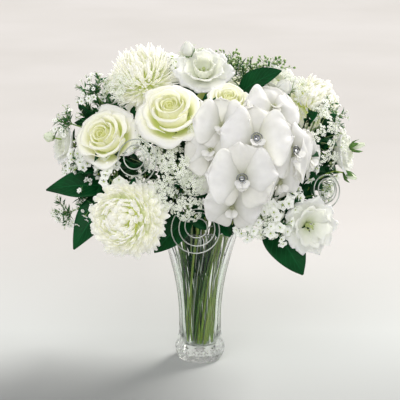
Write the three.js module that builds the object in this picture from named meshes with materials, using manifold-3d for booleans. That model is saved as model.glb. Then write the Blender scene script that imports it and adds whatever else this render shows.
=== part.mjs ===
// Floral table centrepiece: cream roses, football mums, moth orchids, lisianthus, filler sprays and salal
// leaves in a fluted glass vase of water, with scrolls of craft wire and jewelled pins in the orchids.
// Millimetres, +Z up. The origin is the centre of the vase's foot on the table, and the front faces -Y.
import * as THREE from "three";
import { mergeVertices } from "three/addons/utils/BufferGeometryUtils.js";
import Module from "manifold-3d";

const wasm = await Module();
wasm.setup();

// Driving dimensions
const GAP = 0.5; // clearance between pieces that rest on each other
const PETAL_THICK = 1.1;
const LEAF_THICK = 1.2;
const WIRE_RADIUS = 1.0;
const LEAST_EDGE = 0.05; // a shorter edge where pieces are joined is left out
const STEM_SPACE = 1.8; // least space between two stems where the bunch is narrowest

// The vase. Each outer ring is [radius, height, depth of the flute in each panel].
const VASE = {
  panels: 12,
  outer: [
    [30, 0, 0.8], [34, 8, 1.5], [35.5, 19, 1.8], [31.5, 30, 1.3], [29.8, 48, 1.1], [30.4, 76, 1.1],
    [34.6, 112, 1.2], [43.4, 150, 1.3], [53.5, 182, 0.8], [59.5, 195, 0],
  ],
  inner: [[57, 195], [50.5, 182], [39.8, 150], [30.6, 112], [26.2, 76], [25, 45], [20, 21]],
};
const FLOOR_HEIGHT = 21;
const WATER_HEIGHT = 150;

// The heights at which every stem in the vase is placed, with the radius that the bunch fills there and how
// far it has turned about the axis, in degrees.
const BUNCH = [
  { height: FLOOR_HEIGHT + 1, radius: 18.2, turn: -34 },
  { height: 62, radius: 23, turn: -18 },
  { height: 110, radius: 27.6, turn: 2 },
  { height: WATER_HEIGHT + 1, radius: 36.5, turn: 18 },
  { height: 197, radius: 50, turn: 30 },
];
const NARROWEST = BUNCH[0].radius;

// Blooms. centre is the middle of the bloom, face is [turn from the front towards +X, rise above level] in
// degrees, radius is half the bloom's width, and open runs from 0, a tight bloom, to 1.
const ROSES = {
  rose_left: { centre: [-126, -66, 334], face: [-24, 30], radius: 40, open: 0.7 },
  rose_middle: { centre: [-38, -84, 370], face: [-8, 48], radius: 44, open: 1 },
  rose_right: { centre: [38, -62, 380], face: [8, 55], radius: 31, open: 0.2 },
  rose_back: { centre: [24, 92, 368], face: [172, 45], radius: 43, open: 0.8 },
};
const MUMS = {
  mum_low_left: { centre: [-95, -108, 233], face: [-32, 8], radius: 51 },
  mum_top_left: { centre: [-76, 8, 398], face: [-40, 62], radius: 50 },
  mum_right: { centre: [155, 22, 362], face: [60, 38], radius: 39 },
  mum_back: { centre: [-14, 136, 276], face: [178, 8], radius: 50 },
};

// Branched sprays: the stem parts at fork, where it points along face.
const BRANCHED = {
  orchid_spray: {
    kind: "orchid", fork: [62, -84, 300], face: [20, 40],
    blooms: {
      orchid_upper: { centre: [73, -140, 348], face: [8, 22], radius: 44, jewel: true },
      orchid_lower: { centre: [54, -170, 302], face: [0, 4], radius: 43, jewel: true },
      orchid_right: { centre: [124, -115, 326], face: [46, 14], radius: 39, jewel: true },
      orchid_top: { centre: [98, -84, 380], face: [22, 48], radius: 36 },
      orchid_left: { centre: [14, -126, 330], face: [-20, 18], radius: 39 },
      orchid_low: { centre: [42, -142, 256], face: [-8, -16], radius: 36 },
    },
  },
  lisianthus_top: {
    kind: "lisianthus", fork: [46, 16, 330], face: [60, 75],
    blooms: {
      lisianthus_top_middle: { centre: [5, -14, 416], face: [2, 52], radius: 38, open: 1 },
      lisianthus_top_right: { centre: [106, -2, 398], face: [30, 55], radius: 30, open: 0.4 },
    },
  },
  lisianthus_right: {
    kind: "lisianthus", fork: [112, -16, 222], face: [70, 10],
    blooms: {
      lisianthus_low_right: { centre: [149, -86, 216], face: [22, 4], radius: 37, open: 1 },
      lisianthus_far_right: { centre: [197, -8, 300], face: [72, 8], radius: 34, open: 0.4 },
    },
  },
  lisianthus_left: {
    kind: "lisianthus", fork: [-116, 14, 262], face: [-70, 25],
    blooms: {
      lisianthus_far_left: { centre: [-186, -6, 312], face: [-62, 12], radius: 28, open: 0.5 },
    },
  },
  lisianthus_back: {
    kind: "lisianthus", fork: [84, 70, 262], face: [130, 20],
    blooms: { lisianthus_back_right: { centre: [118, 100, 282], face: [130, 10], radius: 36, open: 0.8 } },
  },
};

// Sprays of small florets on rays that part at one point. reach is the rays' length, and spread is the half
// angle of the cone that they fill.
const RAY_SHARE = 0.46; // share of the hub's faces in the cone from which a ray grows
const FLORETS = {
  lace: { size: 8, perCorner: 2, notch: 1, depth: 2.5 },
  aster: { size: 8, perCorner: 4, notch: 0.5, depth: 2 },
  bud: { size: 4, perCorner: 2, notch: 1, depth: 7 },
};
const UMBELS = {
  lace_middle: { centre: [-50, -104, 300], face: [-10, 10], reach: 44, spread: 64, floret: "lace" },
  lace_right: { centre: [182, -34, 330], face: [66, 18], reach: 50, spread: 62, floret: "lace" },
  aster_upper_left: { centre: [-150, 6, 372], face: [-60, 42], reach: 60, spread: 56, floret: "aster" },
  aster_low_left: { centre: [-168, -48, 236], face: [-66, -8], reach: 50, spread: 56, floret: "aster" },
  buds_top: { centre: [72, 22, 420], face: [40, 66], reach: 44, spread: 62, floret: "bud" },
  lace_low_right: { centre: [96, -112, 226], face: [30, -14], reach: 34, spread: 60, floret: "lace" },
  lace_back: { centre: [-88, 112, 330], face: [-142, 25], reach: 46, spread: 62, floret: "lace" },
};

// Leafy twigs: the twig's end, from which its leaves grow, and each leaf's tip with the side that faces up.
const TWIGS = {
  salal_left: {
    end: [-116, -48, 262],
    leaves: [
      { tip: [-211, -40, 255], up: [-0.1, -0.6, 0.8], halfWidth: 24 },
      { tip: [-172, -74, 180], up: [-0.5, -0.85, 0.2], halfWidth: 23 },
    ],
  },
  salal_front: {
    end: [-12, -66, 230],
    leaves: [
      { tip: [-62, -76, 176], up: [-0.2, -0.85, 0.4], halfWidth: 20 },
      { tip: [34, -70, 268], up: [0.1, -0.85, 0.5], halfWidth: 19 },
    ],
  },
  salal_right: {
    end: [92, -60, 222],
    leaves: [
      { tip: [140, -84, 147], up: [0.25, -0.9, 0.3], halfWidth: 27 },
      { tip: [150, -42, 270], up: [0.05, -0.9, 0.4], halfWidth: 20 },
    ],
  },
  salal_top: {
    end: [52, -8, 384],
    leaves: [{ tip: [110, -38, 420], up: [-0.3, -0.7, 0.7], halfWidth: 19 }],
  },
  salal_back_left: {
    end: [-70, 84, 214],
    leaves: [
      { tip: [-124, 142, 178], up: [-0.3, 0.5, 0.8], halfWidth: 25 },
      { tip: [-36, 168, 196], up: [0, 0.4, 0.9], halfWidth: 24 },
    ],
  },
  salal_back_right: {
    end: [98, 60, 214],
    leaves: [
      { tip: [186, 66, 196], up: [0.3, 0.2, 0.9], halfWidth: 25 },
      { tip: [112, 150, 186], up: [0.2, 0.4, 0.9], halfWidth: 24 },
    ],
  },
};

// Wire scrolls: the middle of the coil, the way it faces, its outer and inner radius, its turns and the angle
// at which the wire joins its outer turn, with the points that the wire passes between the rim and the coil.
const SCROLLS = {
  scroll_middle: {
    centre: [-4, -92, 212], face: [0, 6], outer: 38, inner: 11, turns: 3.2, start: 25,
    via: [[22, -58, 210], [37, -80, 226]],
  },
  scroll_left: {
    centre: [-84, -136, 318], face: [-20, 14], outer: 30, inner: 10, turns: 2.4, start: -60,
    via: [[-34, -70, 262], [-60, -118, 288]],
  },
  scroll_right: {
    centre: [170, -66, 260], face: [30, 10], outer: 24, inner: 9, turns: 2.6, start: -100,
    via: [[84, -18, 232], [146, -34, 236]],
  },
};
const STEPS_PER_TURN = 8;

// Stem radii by kind, and how far below the bloom's middle its root lies, as a share of the bloom's radius
const STEM_RADIUS = { rose: 2.5, mum: 2.3, lisianthus: 1.9, orchid: 2.2, umbel: 1.5, twig: 2.2 };
const ROOT_DEPTH = { rose: 0.5, mum: 0.72, lisianthus: 0.5, orchid: 0.19 };

// Surfaces: [colour, roughness, metalness]
const SURFACES = {
  glass: [0xe8eeec, 0.05, 0], water: [0xdfe8e2, 0.03, 0],
  wire: [0xd5dbd2, 0.3, 1], jewel: [0xf2f4f6, 0.1, 0.2],
  cream: [0xf1f0cc, 0.6, 0], ivory: [0xeeeed6, 0.65, 0], white: [0xf0f0ee, 0.55, 0],
  stem: [0x5d7f3a, 0.6, 0], spray: [0xc9d6bd, 0.7, 0], leaf: [0x175231, 0.4, 0],
};

// Small helpers
const { degToRad: radians } = THREE.MathUtils;
const vec = (p) => new THREE.Vector3(...p);
const GOLDEN_ANGLE = Math.PI * (3 - Math.sqrt(5));

function direction([turn, rise]) {
  const [around, level] = [radians(turn), Math.cos(radians(rise))];
  return new THREE.Vector3(Math.sin(around) * level, -Math.cos(around) * level, Math.sin(radians(rise)));
}

// The frame of a bloom: its local Z faces out and its local Y is as near up as it can be.
function frameOf(base, facing, scale = 1) {
  const right = new THREE.Vector3(0, 0, 1).cross(facing).normalize();
  const up = facing.clone().cross(right);
  return new THREE.Matrix4()
    .makeBasis(right, up, facing)
    .scale(new THREE.Vector3(scale, scale, scale))
    .setPosition(base);
}

// A seeded random draw, so that every build is the same
function draws(seed) {
  let state = seed;
  return () => {
    state = (state * 1664525 + 1013904223) % 4294967296;
    return state / 4294967296;
  };
}

// A closed geometry as a solid that can be joined and cut, with its faces turned outwards
function solidOf(geometry) {
  const bare = new THREE.BufferGeometry().setAttribute("position", geometry.getAttribute("position"));
  if (geometry.index) bare.setIndex(geometry.index);
  const merged = mergeVertices(bare, 1e-4);
  const corners = merged.index.array;
  const [a, b, c] = [new THREE.Vector3(), new THREE.Vector3(), new THREE.Vector3()];
  const faces = [];
  let volume = 0;
  for (let i = 0; i < corners.length; i += 3) {
    const face = [corners[i], corners[i + 1], corners[i + 2]];
    if (new Set(face).size < 3) continue;
    faces.push(face);
    [a, b, c].forEach((corner, k) => corner.fromBufferAttribute(merged.attributes.position, face[k]));
    volume += a.dot(b.cross(c));
  }
  if (volume < 0) faces.forEach((face) => face.reverse());
  return new wasm.Manifold(
    new wasm.Mesh({
      numProp: 3,
      vertProperties: new Float32Array(merged.attributes.position.array),
      triVerts: new Uint32Array(faces.flat()),
    }),
  );
}

function solidFrom(points, faces) {
  return solidOf(new THREE.BufferGeometry().setFromPoints(points).setIndex(faces));
}

// The joined solids as one body: slivers are taken out, sealed hollows filled and loose scraps dropped.
function joined(solids) {
  const bodies = wasm.Manifold.union(solids).simplify(LEAST_EDGE).decompose();
  return bodies.reduce((most, body) => (body.volume() > most.volume() ? body : most));
}

function meshOf(name, solid, surface) {
  const made = solid.getMesh();
  const vertices = new Float32Array(made.numVert * 3);
  for (let i = 0; i < made.numVert; i++) {
    vertices.set(made.vertProperties.subarray(i * made.numProp, i * made.numProp + 3), i * 3);
  }
  const geometry = new THREE.BufferGeometry()
    .setAttribute("position", new THREE.BufferAttribute(vertices, 3))
    .setIndex(new THREE.BufferAttribute(made.triVerts, 1));
  geometry.computeVertexNormals();
  const [color, roughness, metalness] = SURFACES[surface];
  const mesh = new THREE.Mesh(geometry, new THREE.MeshStandardMaterial({ color, roughness, metalness }));
  mesh.name = name;
  return mesh;
}

// A line through points that an extrusion follows with one ring at each point
class Route extends THREE.Curve {
  constructor(points) {
    super();
    this.points = points;
  }
  getPoint(t) {
    const at = t * (this.points.length - 1);
    const i = Math.min(Math.floor(at), this.points.length - 2);
    return this.points[i].clone().lerp(this.points[i + 1], at - i);
  }
  getPointAt(u) {
    return this.getPoint(u);
  }
  getTangentAt(u) {
    return this.getTangent(u);
  }
}

function rod(points, radius, sides = 4) {
  const corners = Array.from({ length: sides }, (_, i) => {
    const angle = (2 * Math.PI * i) / sides;
    return new THREE.Vector2(radius * Math.cos(angle), radius * Math.sin(angle));
  });
  const along = { steps: points.length - 1, extrudePath: new Route(points), bevelEnabled: false };
  return solidOf(new THREE.ExtrudeGeometry(new THREE.Shape(corners), along));
}

// A thin blade: point(u, v) runs along its length with u and across it with v from -1 to 1. Both faces are
// split into triangles alike.
function blade(point, rows, thick) {
  const columns = 2;
  const across = columns + 1;
  const face = (side) => {
    const found = [];
    for (let i = 0; i <= rows; i++) {
      for (let j = 0; j <= columns; j++) {
        const [u, v, step, least] = [i / rows, j - 1, 1 / rows, 1e-2];
        // Where the blade narrows to a point, the whole row has the normal of its middle.
        const isPoint = point(u, 1).distanceTo(point(u, -1)) < least;
        const [atU, atV] = isPoint ? [Math.min(Math.max(u, 2 * least), 1 - 2 * least), 0] : [u, v];
        const along = point(Math.min(atU + step, 1), atV).sub(point(Math.max(atU - step, 0), atV));
        const over = point(atU, Math.min(atV + 1, 1)).sub(point(atU, Math.max(atV - 1, -1)));
        found.push(point(u, v).addScaledVector(along.cross(over).normalize(), (side * thick) / 2));
      }
    }
    return found;
  };
  const back = across * (rows + 1);
  const faces = [];
  const quad = (a, b, c, d) => faces.push(a, b, c, a, c, d);
  for (let i = 0; i < rows; i++) {
    for (let j = 0; j < columns; j++) {
      const at = i * across + j;
      quad(at, at + across, at + across + 1, at + 1);
      faces.push(back + at, back + at + across + 1, back + at + across);
      faces.push(back + at, back + at + 1, back + at + across + 1);
    }
    const [left, right] = [i * across, i * across + columns];
    quad(left + across, left, back + left, back + left + across);
    quad(right, right + across, back + right + across, back + right);
  }
  for (let j = 0; j < columns; j++) {
    const top = rows * across + j;
    quad(j, j + 1, back + j + 1, back + j);
    quad(top + 1, top, back + top, back + top + 1);
  }
  return solidFrom([...face(1), ...face(-1)], faces);
}

// Petals in a ring about the local Z axis. rib holds the root, middle and tip of each as [distance from
// the axis, height]. A petal starts from a point, share is how much of its own sector it fills at its
// middle, end is its tip's width beside that, and lift raises its edges.
function petals({ rib, count, turn, share = 0.9, end = 0.5, lift = 2, of = count }) {
  const curve = new THREE.SplineCurve(rib.map(([radius, height]) => new THREE.Vector2(radius, height)));
  return Array.from({ length: count }, (_, i) => {
    const middle = radians(turn) + (2 * Math.PI * i) / of;
    const point = (u, v) => {
      const { x: radius, y: height } = curve.getPoint(u);
      const width = u < 0.5 ? 2 * u : 1 - (1 - end) * (2 * u - 1);
      const angle = middle + ((v * Math.PI) / of) * share * width;
      const reach = radius * (1 - 0.16 * u * u * v * v);
      return new THREE.Vector3(reach * Math.cos(angle), reach * Math.sin(angle), height + lift * u * v * v);
    };
    return blade(point, 2, PETAL_THICK);
  });
}

// A three-sided spike from a point in the core, widest at its middle and bent there
function spike(root, middle, tip, width) {
  const along = tip.clone().sub(root).normalize();
  const keel = middle.clone().sub(root).projectOnPlane(along).normalize();
  const side = along.clone().cross(keel).setLength(width / 2);
  const points = [root, middle.clone().add(side), middle.clone().sub(side),
    middle.clone().addScaledVector(keel, 0.3 * width), tip];
  return solidFrom(points, [0, 1, 2, 0, 2, 3, 0, 3, 1, 4, 2, 1, 4, 3, 2, 4, 1, 3]);
}

// A round piece between two heights on the local Z axis
function post(lowRadius, highRadius, low, high, sides) {
  const geometry = new THREE.CylinderGeometry(highRadius, lowRadius, high - low, sides);
  return solidOf(geometry.rotateX(Math.PI / 2).translate(0, 0, (low + high) / 2));
}

function turned(rings, segments) {
  const profile = rings.map(([radius, height]) => new THREE.Vector2(radius, height));
  return new THREE.LatheGeometry(profile, segments).rotateX(Math.PI / 2);
}

// The few-sided heart of a bloom, closed at both ends
function core(rings, sides = 6) {
  const closed = [[0, rings[0][1]], ...rings];
  const [radius, top] = rings[rings.length - 1];
  if (radius > 0) closed.push([0, top]);
  return solidOf(turned(closed, sides));
}

// The vase and its water
const SEGMENTS = 2 * VASE.panels;

function vaseSolid() {
  const rings = [[0, 0], ...VASE.outer, ...VASE.inner, [0, FLOOR_HEIGHT]];
  const geometry = turned(rings, SEGMENTS);
  const place = geometry.attributes.position;
  for (let i = 0; i < place.count; i++) {
    const isFlute = Math.floor(i / rings.length) % 2 === 1;
    const [radius = 0, , depth = 0] = isFlute ? rings[i % rings.length] : [];
    if (depth) place.setXY(i, place.getX(i) * (1 - depth / radius), place.getY(i) * (1 - depth / radius));
  }
  return solidOf(geometry);
}

function waterSolid(holes) {
  const wet = VASE.inner.filter(([, height]) => height <= WATER_HEIGHT).reverse();
  const rings = wet.map(([radius, height]) => [radius - GAP, Math.max(height, FLOOR_HEIGHT + GAP)]);
  const body = turned([[0, FLOOR_HEIGHT + GAP], ...rings, [0, WATER_HEIGHT]], SEGMENTS);
  return joined([wasm.Manifold.difference([solidOf(body), ...holes])]);
}

// Blooms, each about its local Z axis with its root at the origin
const NOMINAL_RADIUS = { rose: 40, mum: 50, lisianthus: 36, orchid: 43 };

function roseSolid({ open }) {
  return joined([
    core([[6, 0], [9, 6], [9, 26], [0, 36]]),
    ...petals({ rib: [[6, 12], [14.5, 22], [9, 37]], count: 3, turn: 20, lift: 0 }),
    ...petals({ rib: [[6, 7], [21, 17], [20 + 4 * open, 35]], count: 3, turn: 80, lift: -2 }),
    ...petals({ rib: [[6, 3], [27, 10], [34 + 6 * open, 29 - 7 * open]], count: 5, turn: 38, lift: -3 }),
  ]);
}

function mumSolid() {
  const [radius, count, lowest] = [NOMINAL_RADIUS.mum, 25, -0.45];
  const middle = ROOT_DEPTH.mum * radius;
  const bulge = 0.66 * radius;
  const profile = [[6, 0], [bulge * 0.7, middle - bulge * 0.6], [bulge, middle],
    [bulge * 0.6, middle + bulge * 0.7], [0, middle + bulge * 0.9]];
  const pieces = [core(profile, 7)];
  for (let i = 0; i < count; i++) {
    const rise = 1 - ((1 - lowest) * (i + 0.5)) / count;
    const [level, around] = [Math.sqrt(1 - rise * rise), i * GOLDEN_ANGLE];
    const out = new THREE.Vector3(level * Math.cos(around), level * Math.sin(around), rise);
    const at = (share, lift) =>
      out.clone().multiplyScalar(share * radius).add(new THREE.Vector3(0, 0, middle + lift * radius * level));
    pieces.push(spike(at(0.3, 0.02), at(0.86, 0), at(0.98, 0.18), 0.4 * radius));
  }
  return joined(pieces);
}

function lisianthusSolid({ open }) {
  return joined([
    core([[3.5, 0], [6, 5], [4, 12], [3, 20]], 5),
    ...petals({ rib: [[3.5, 7], [14, 16], [17, 32]], count: 3, turn: 50, lift: 0 }),
    ...petals({ rib: [[3.5, 3], [21, 11], [29 + 7 * open, 32 - 8 * open]], count: 5, turn: 9, lift: 3 }),
  ]);
}

const COLUMN = { radius: 3.6, top: 11 };

function orchidSolid() {
  const sepal = { rib: [[2, 3], [20, 6], [42, 4]], of: 3, share: 0.72, end: 0.45, lift: 1 };
  const wing = { rib: [[2, 6], [23, 9.5], [43, 7]], of: 2, share: 0.8, end: 0.6, lift: 1 };
  return joined([
    core([[2.6, 0], [4.5, 2], [COLUMN.radius, COLUMN.top]]),
    ...petals({ ...sepal, count: 1, turn: 90 }),
    ...petals({ ...sepal, count: 2, turn: 207 }),
    ...petals({ ...wing, count: 2, turn: 8 }),
    ...petals({ rib: [[2, 8.5], [8, 12], [12, 19]], of: 3, count: 1, turn: 270, share: 0.75 }),
  ]);
}

// A faceted stone on a pin that stands in the orchid's column
const JEWEL = { radius: 4.4, height: 3, pinRadius: 0.7, pinLength: 6 };

function jewelSolid() {
  const { radius, height, pinRadius, pinLength } = JEWEL;
  const profile = [[0, -pinLength], [pinRadius, -pinLength], [pinRadius, 0],
    [radius, 0], [0.6 * radius, height], [0, height]];
  return solidOf(turned(profile, 6));
}

function pinHole() {
  const radius = JEWEL.pinRadius + GAP;
  return post(radius, radius, COLUMN.top - JEWEL.pinLength - 1, 30, 7);
}

const BLOOM = {
  rose: { make: roseSolid, surface: "cream", calyx: [8, 6] },
  mum: { make: mumSolid, surface: "ivory", calyx: [8, 5] },
  lisianthus: { make: lisianthusSolid, surface: "white", calyx: [5, 6] },
  orchid: { make: orchidSolid, surface: "white", calyx: [3, 3] },
};

// Every stem in the vase: its goal is where it ends, facing the way that it arrives.
function seatOf(kind, { centre, face, radius }) {
  const facing = direction(face);
  const base = vec(centre).addScaledVector(facing, -ROOT_DEPTH[kind] * radius);
  const scale = radius / NOMINAL_RADIUS[kind];
  const goal = base.clone().addScaledVector(facing, -GAP - 0.6 * BLOOM[kind].calyx[1] * scale);
  return { kind, facing, goal, scale, frame: frameOf(base, facing, scale) };
}

function coil({ centre, face, outer, inner, turns, start }) {
  const frame = frameOf(vec(centre), direction(face));
  const count = Math.round(turns * STEPS_PER_TURN);
  return Array.from({ length: count + 1 }, (_, i) => {
    const radius = outer + ((inner - outer) * i) / count;
    const angle = radians(start) + (2 * Math.PI * turns * i) / count;
    const [x, y] = [radius * Math.cos(angle), radius * Math.sin(angle)];
    return new THREE.Vector3(x, y, (5 * i) / count).applyMatrix4(frame);
  });
}

const stems = [];
const addStem = (name, kind, goal, facing, more) =>
  stems.push({ name, kind, goal, facing, radius: STEM_RADIUS[kind] ?? WIRE_RADIUS, ...more });

for (const [kind, blooms] of [["rose", ROSES], ["mum", MUMS]]) {
  for (const [name, bloom] of Object.entries(blooms)) {
    const { goal, facing } = seatOf(kind, bloom);
    addStem(name, kind, goal, facing);
  }
}
for (const [name, { kind, fork, face }] of Object.entries(BRANCHED)) {
  addStem(name, kind, vec(fork), direction(face));
}
for (const [name, { centre, face, reach }] of Object.entries(UMBELS)) {
  addStem(name, "umbel", vec(centre).addScaledVector(direction(face), -0.85 * reach), direction(face));
}
for (const [name, { end }] of Object.entries(TWIGS)) {
  addStem(name, "twig", vec(end), vec(end).sub(new THREE.Vector3(0, 0, 150)).normalize());
}
for (const [name, scroll] of Object.entries(SCROLLS)) {
  const beyond = [...scroll.via.map(vec), ...coil(scroll)];
  addStem(name, "scroll", beyond[0], direction(scroll.face), { beyond });
}

// A stem's place where the bunch is narrowest follows the way that it leaves, and the places are then pushed
// apart until all stems fit side by side.
function settledPlaces() {
  const found = stems.map(({ goal, radius }) => {
    const lean = Math.atan2(Math.hypot(goal.x, goal.y), goal.z - 150) / Math.atan2(200, 20);
    const reach = Math.min(lean, 1) * (NARROWEST - radius);
    return new THREE.Vector2(goal.x, goal.y).setLength(reach).rotateAround(new THREE.Vector2(), radians(-64));
  });
  for (let pass = 0; pass < 800; pass++) {
    for (let i = 0; i < found.length; i++) {
      for (let j = i + 1; j < found.length; j++) {
        const apart = found[j].clone().sub(found[i]);
        const lack = stems[i].radius + stems[j].radius + STEM_SPACE - apart.length();
        if (lack <= 0) continue;
        apart.setLength(lack / 2);
        found[i].sub(apart);
        found[j].add(apart);
      }
      found[i].clampLength(0, NARROWEST - stems[i].radius);
    }
  }
  return found;
}

// A stem's points: one at each height of the bunch, then along a curve to its goal
function stemPoints(place, { goal, facing, beyond }) {
  const inVase = BUNCH.map(({ height, radius, turn }) => {
    const twist = radians(turn - BUNCH[0].turn);
    const at = place.clone().multiplyScalar(radius / NARROWEST).rotateAround(new THREE.Vector2(), twist);
    return new THREE.Vector3(at.x, at.y, height);
  });
  if (beyond) return [...inVase, ...beyond];
  const rim = inVase[inVase.length - 1];
  const leave = rim.clone().sub(inVase[inVase.length - 2]).normalize();
  const reach = rim.distanceTo(goal);
  const curve = new THREE.CubicBezierCurve3(
    rim,
    rim.clone().addScaledVector(leave, 0.35 * reach),
    goal.clone().addScaledVector(facing, -0.35 * reach),
    goal,
  );
  return [...inVase, ...curve.getPoints(4).slice(1)];
}

settledPlaces().forEach((place, i) => {
  stems[i].points = stemPoints(place, stems[i]);
  stems[i].sides = stems[i].kind === "umbel" ? 3 : 4;
  stems[i].solid = rod(stems[i].points, stems[i].radius, stems[i].sides);
});
const stemOf = (name) => stems.find((stem) => stem.name === name);

// The pieces, in the order in which they are built. What comes later keeps clear of what is there.
const group = new THREE.Group();
const built = [];

function add(name, solid, surface, frame = new THREE.Matrix4()) {
  const mesh = meshOf(name, solid, surface);
  mesh.applyMatrix4(frame);
  group.add(mesh);
  built.push(solid.transform(frame.elements));
}

const isClear = (solid) => built.every((other) => other.minGap(solid, 2 * GAP) > GAP);

add("vase", vaseSolid(), "glass");

function addBloom(name, bloom, seat) {
  const { make, surface } = BLOOM[seat.kind];
  if (!bloom.jewel) {
    add(name + "_bloom", make(bloom), surface, seat.frame);
    return;
  }
  add(name + "_bloom", make(bloom).subtract(pinHole()), surface, seat.frame);
  const top = new THREE.Matrix4().makeTranslation(0, 0, COLUMN.top + GAP);
  add(name + "_jewel", jewelSolid(), "jewel", seat.frame.clone().multiply(top));
}

function calyx({ kind, frame }) {
  const [radius, length] = BLOOM[kind].calyx;
  return post(radius * 0.45, radius, -length - GAP, -GAP, 5).transform(frame.elements);
}

for (const [kind, blooms] of [["rose", ROSES], ["mum", MUMS]]) {
  for (const [name, bloom] of Object.entries(blooms)) {
    const seat = seatOf(kind, bloom);
    addBloom(name, bloom, seat);
    add(name + "_stem", joined([stemOf(name).solid, calyx(seat)]), "stem");
  }
}

for (const [name, { kind, blooms }] of Object.entries(BRANCHED)) {
  const { goal: fork, facing: lead, solid } = stemOf(name);
  const pieces = [solid];
  for (const [bloomName, bloom] of Object.entries(blooms)) {
    const seat = seatOf(kind, bloom);
    addBloom(bloomName, bloom, seat);
    const start = fork.clone().addScaledVector(lead, -3);
    const reach = start.distanceTo(seat.goal);
    const path = new THREE.CubicBezierCurve3(
      start,
      start.clone().addScaledVector(lead, 0.25 * reach),
      seat.goal.clone().addScaledVector(seat.facing, -0.4 * reach),
      seat.goal,
    );
    pieces.push(rod(path.getPoints(3), 1.5), calyx(seat));
  }
  add(name + "_stem", joined(pieces), "stem");
}

for (const name of Object.keys(SCROLLS)) add(name, stemOf(name).solid, "wire");

function leafSolid(from, { tip, up, halfWidth }) {
  const to = vec(tip);
  const along = to.clone().sub(from).normalize();
  const face = vec(up).projectOnPlane(along).normalize();
  const side = along.clone().cross(face);
  const crest = from.clone().lerp(to, 0.5).addScaledVector(face, 0.14 * from.distanceTo(to));
  const arch = new THREE.QuadraticBezierCurve3(from, crest, to);
  const point = (u, v) => {
    const width = halfWidth * Math.max(Math.sin(Math.PI * u ** 0.8), 0) ** 0.8;
    const lift = 0.22 * Math.abs(v) * width;
    return arch.getPoint(u).addScaledVector(side, v * width).addScaledVector(face, lift);
  };
  return blade(point, 4, LEAF_THICK);
}

for (const [name, { leaves }] of Object.entries(TWIGS)) {
  const { goal, facing, solid } = stemOf(name);
  const root = goal.clone().addScaledVector(facing, -3);
  add(name, joined([solid, ...leaves.map((leaf) => leafSolid(root, leaf))]), "leaf");
}

// A ray that grows from a face of its hub and widens into a floret: its points, and its faces with root
// as 0 to 2
function floretRay(root, reach, lean, { size, perCorner, notch, depth }) {
  const middle = root[0].clone().add(root[1]).add(root[2]).divideScalar(3);
  const facing = middle.clone().normalize().add(lean).normalize();
  const x = root[0].clone().sub(middle).projectOnPlane(facing).normalize();
  const y = facing.clone().cross(x);
  const at = (angle, radius, height) => facing.clone().multiplyScalar(height)
    .addScaledVector(x, radius * Math.cos(angle)).addScaledVector(y, radius * Math.sin(angle));
  const rim = 3 * perCorner;
  const points = [...root];
  for (let i = 0; i < 3; i++) points.push(at((2 * Math.PI * i) / 3, 0.9, reach - depth));
  for (let i = 0; i < rim; i++) points.push(at((2 * Math.PI * i) / rim, i % 2 ? size * notch : size, reach));
  points.push(at(0, 0, reach + 0.4 * depth));
  const faces = [];
  for (let i = 0; i < 3; i++) {
    const next = (i + 1) % 3;
    faces.push(i, next, 3 + next, i, 3 + next, 3 + i);
    faces.push(3 + i, 3 + next, 6 + perCorner * next);
    for (let j = perCorner * i; j < perCorner * (i + 1); j++) faces.push(3 + i, 6 + ((j + 1) % rim), 6 + j);
  }
  for (let i = 0; i < rim; i++) faces.push(6 + i, 6 + ((i + 1) % rim), 6 + rim);
  return { points, faces };
}

// An umbel: a ray grows from each face of a small hub that looks into the cone, unless it would touch another
// piece.
function umbelSolid(name, { reach, spread, floret }, seed) {
  const { goal, facing, solid } = stemOf(name);
  const frame = frameOf(goal, facing);
  const draw = draws(seed);
  const hub = new THREE.IcosahedronGeometry(3.2, 1).getAttribute("position");
  const [points, faces] = [[], []];
  for (let i = 0; i < hub.count; i += 3) {
    const root = [0, 1, 2].map((k) => new THREE.Vector3().fromBufferAttribute(hub, i + k));
    const outward = root[0].clone().add(root[1]).add(root[2]).normalize();
    const lean = new THREE.Vector3(draw() - 0.5, draw() - 0.5, draw() - 0.5).multiplyScalar(0.16);
    const grown = floretRay(root, reach * (0.85 + 0.3 * draw()), lean, FLORETS[floret]);
    const grows = draw() < RAY_SHARE
      && outward.z > Math.cos(radians(spread))
      && isClear(solidFrom(grown.points, [...grown.faces, 0, 2, 1]).transform(frame.elements));
    const part = grows ? grown : { points: root, faces: [0, 1, 2] };
    faces.push(...part.faces.map((k) => points.length + k));
    points.push(...part.points);
  }
  return joined([solid, solidFrom(points, faces).transform(frame.elements)]);
}

Object.entries(UMBELS).forEach(([name, umbel], i) => add(name, umbelSolid(name, umbel, 11 + i), "spray"));

// The water, with a plain hole for each stem and wire
const holes = stems.map(({ points, radius, sides }) => {
  const below = points[0].clone().lerp(points[1], -0.06);
  return rod([below, ...points.slice(1, BUNCH.length)], radius + GAP / Math.cos(Math.PI / sides), sides);
});
add("water", waterSolid(holes), "water");

export default group;
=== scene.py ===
"""Floral table centrepiece in a fluted glass vase: its looks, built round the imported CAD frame.

Lengths here are in millimetres, as in the CAD source, and become metres where a mesh is made.
"""

import math

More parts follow.
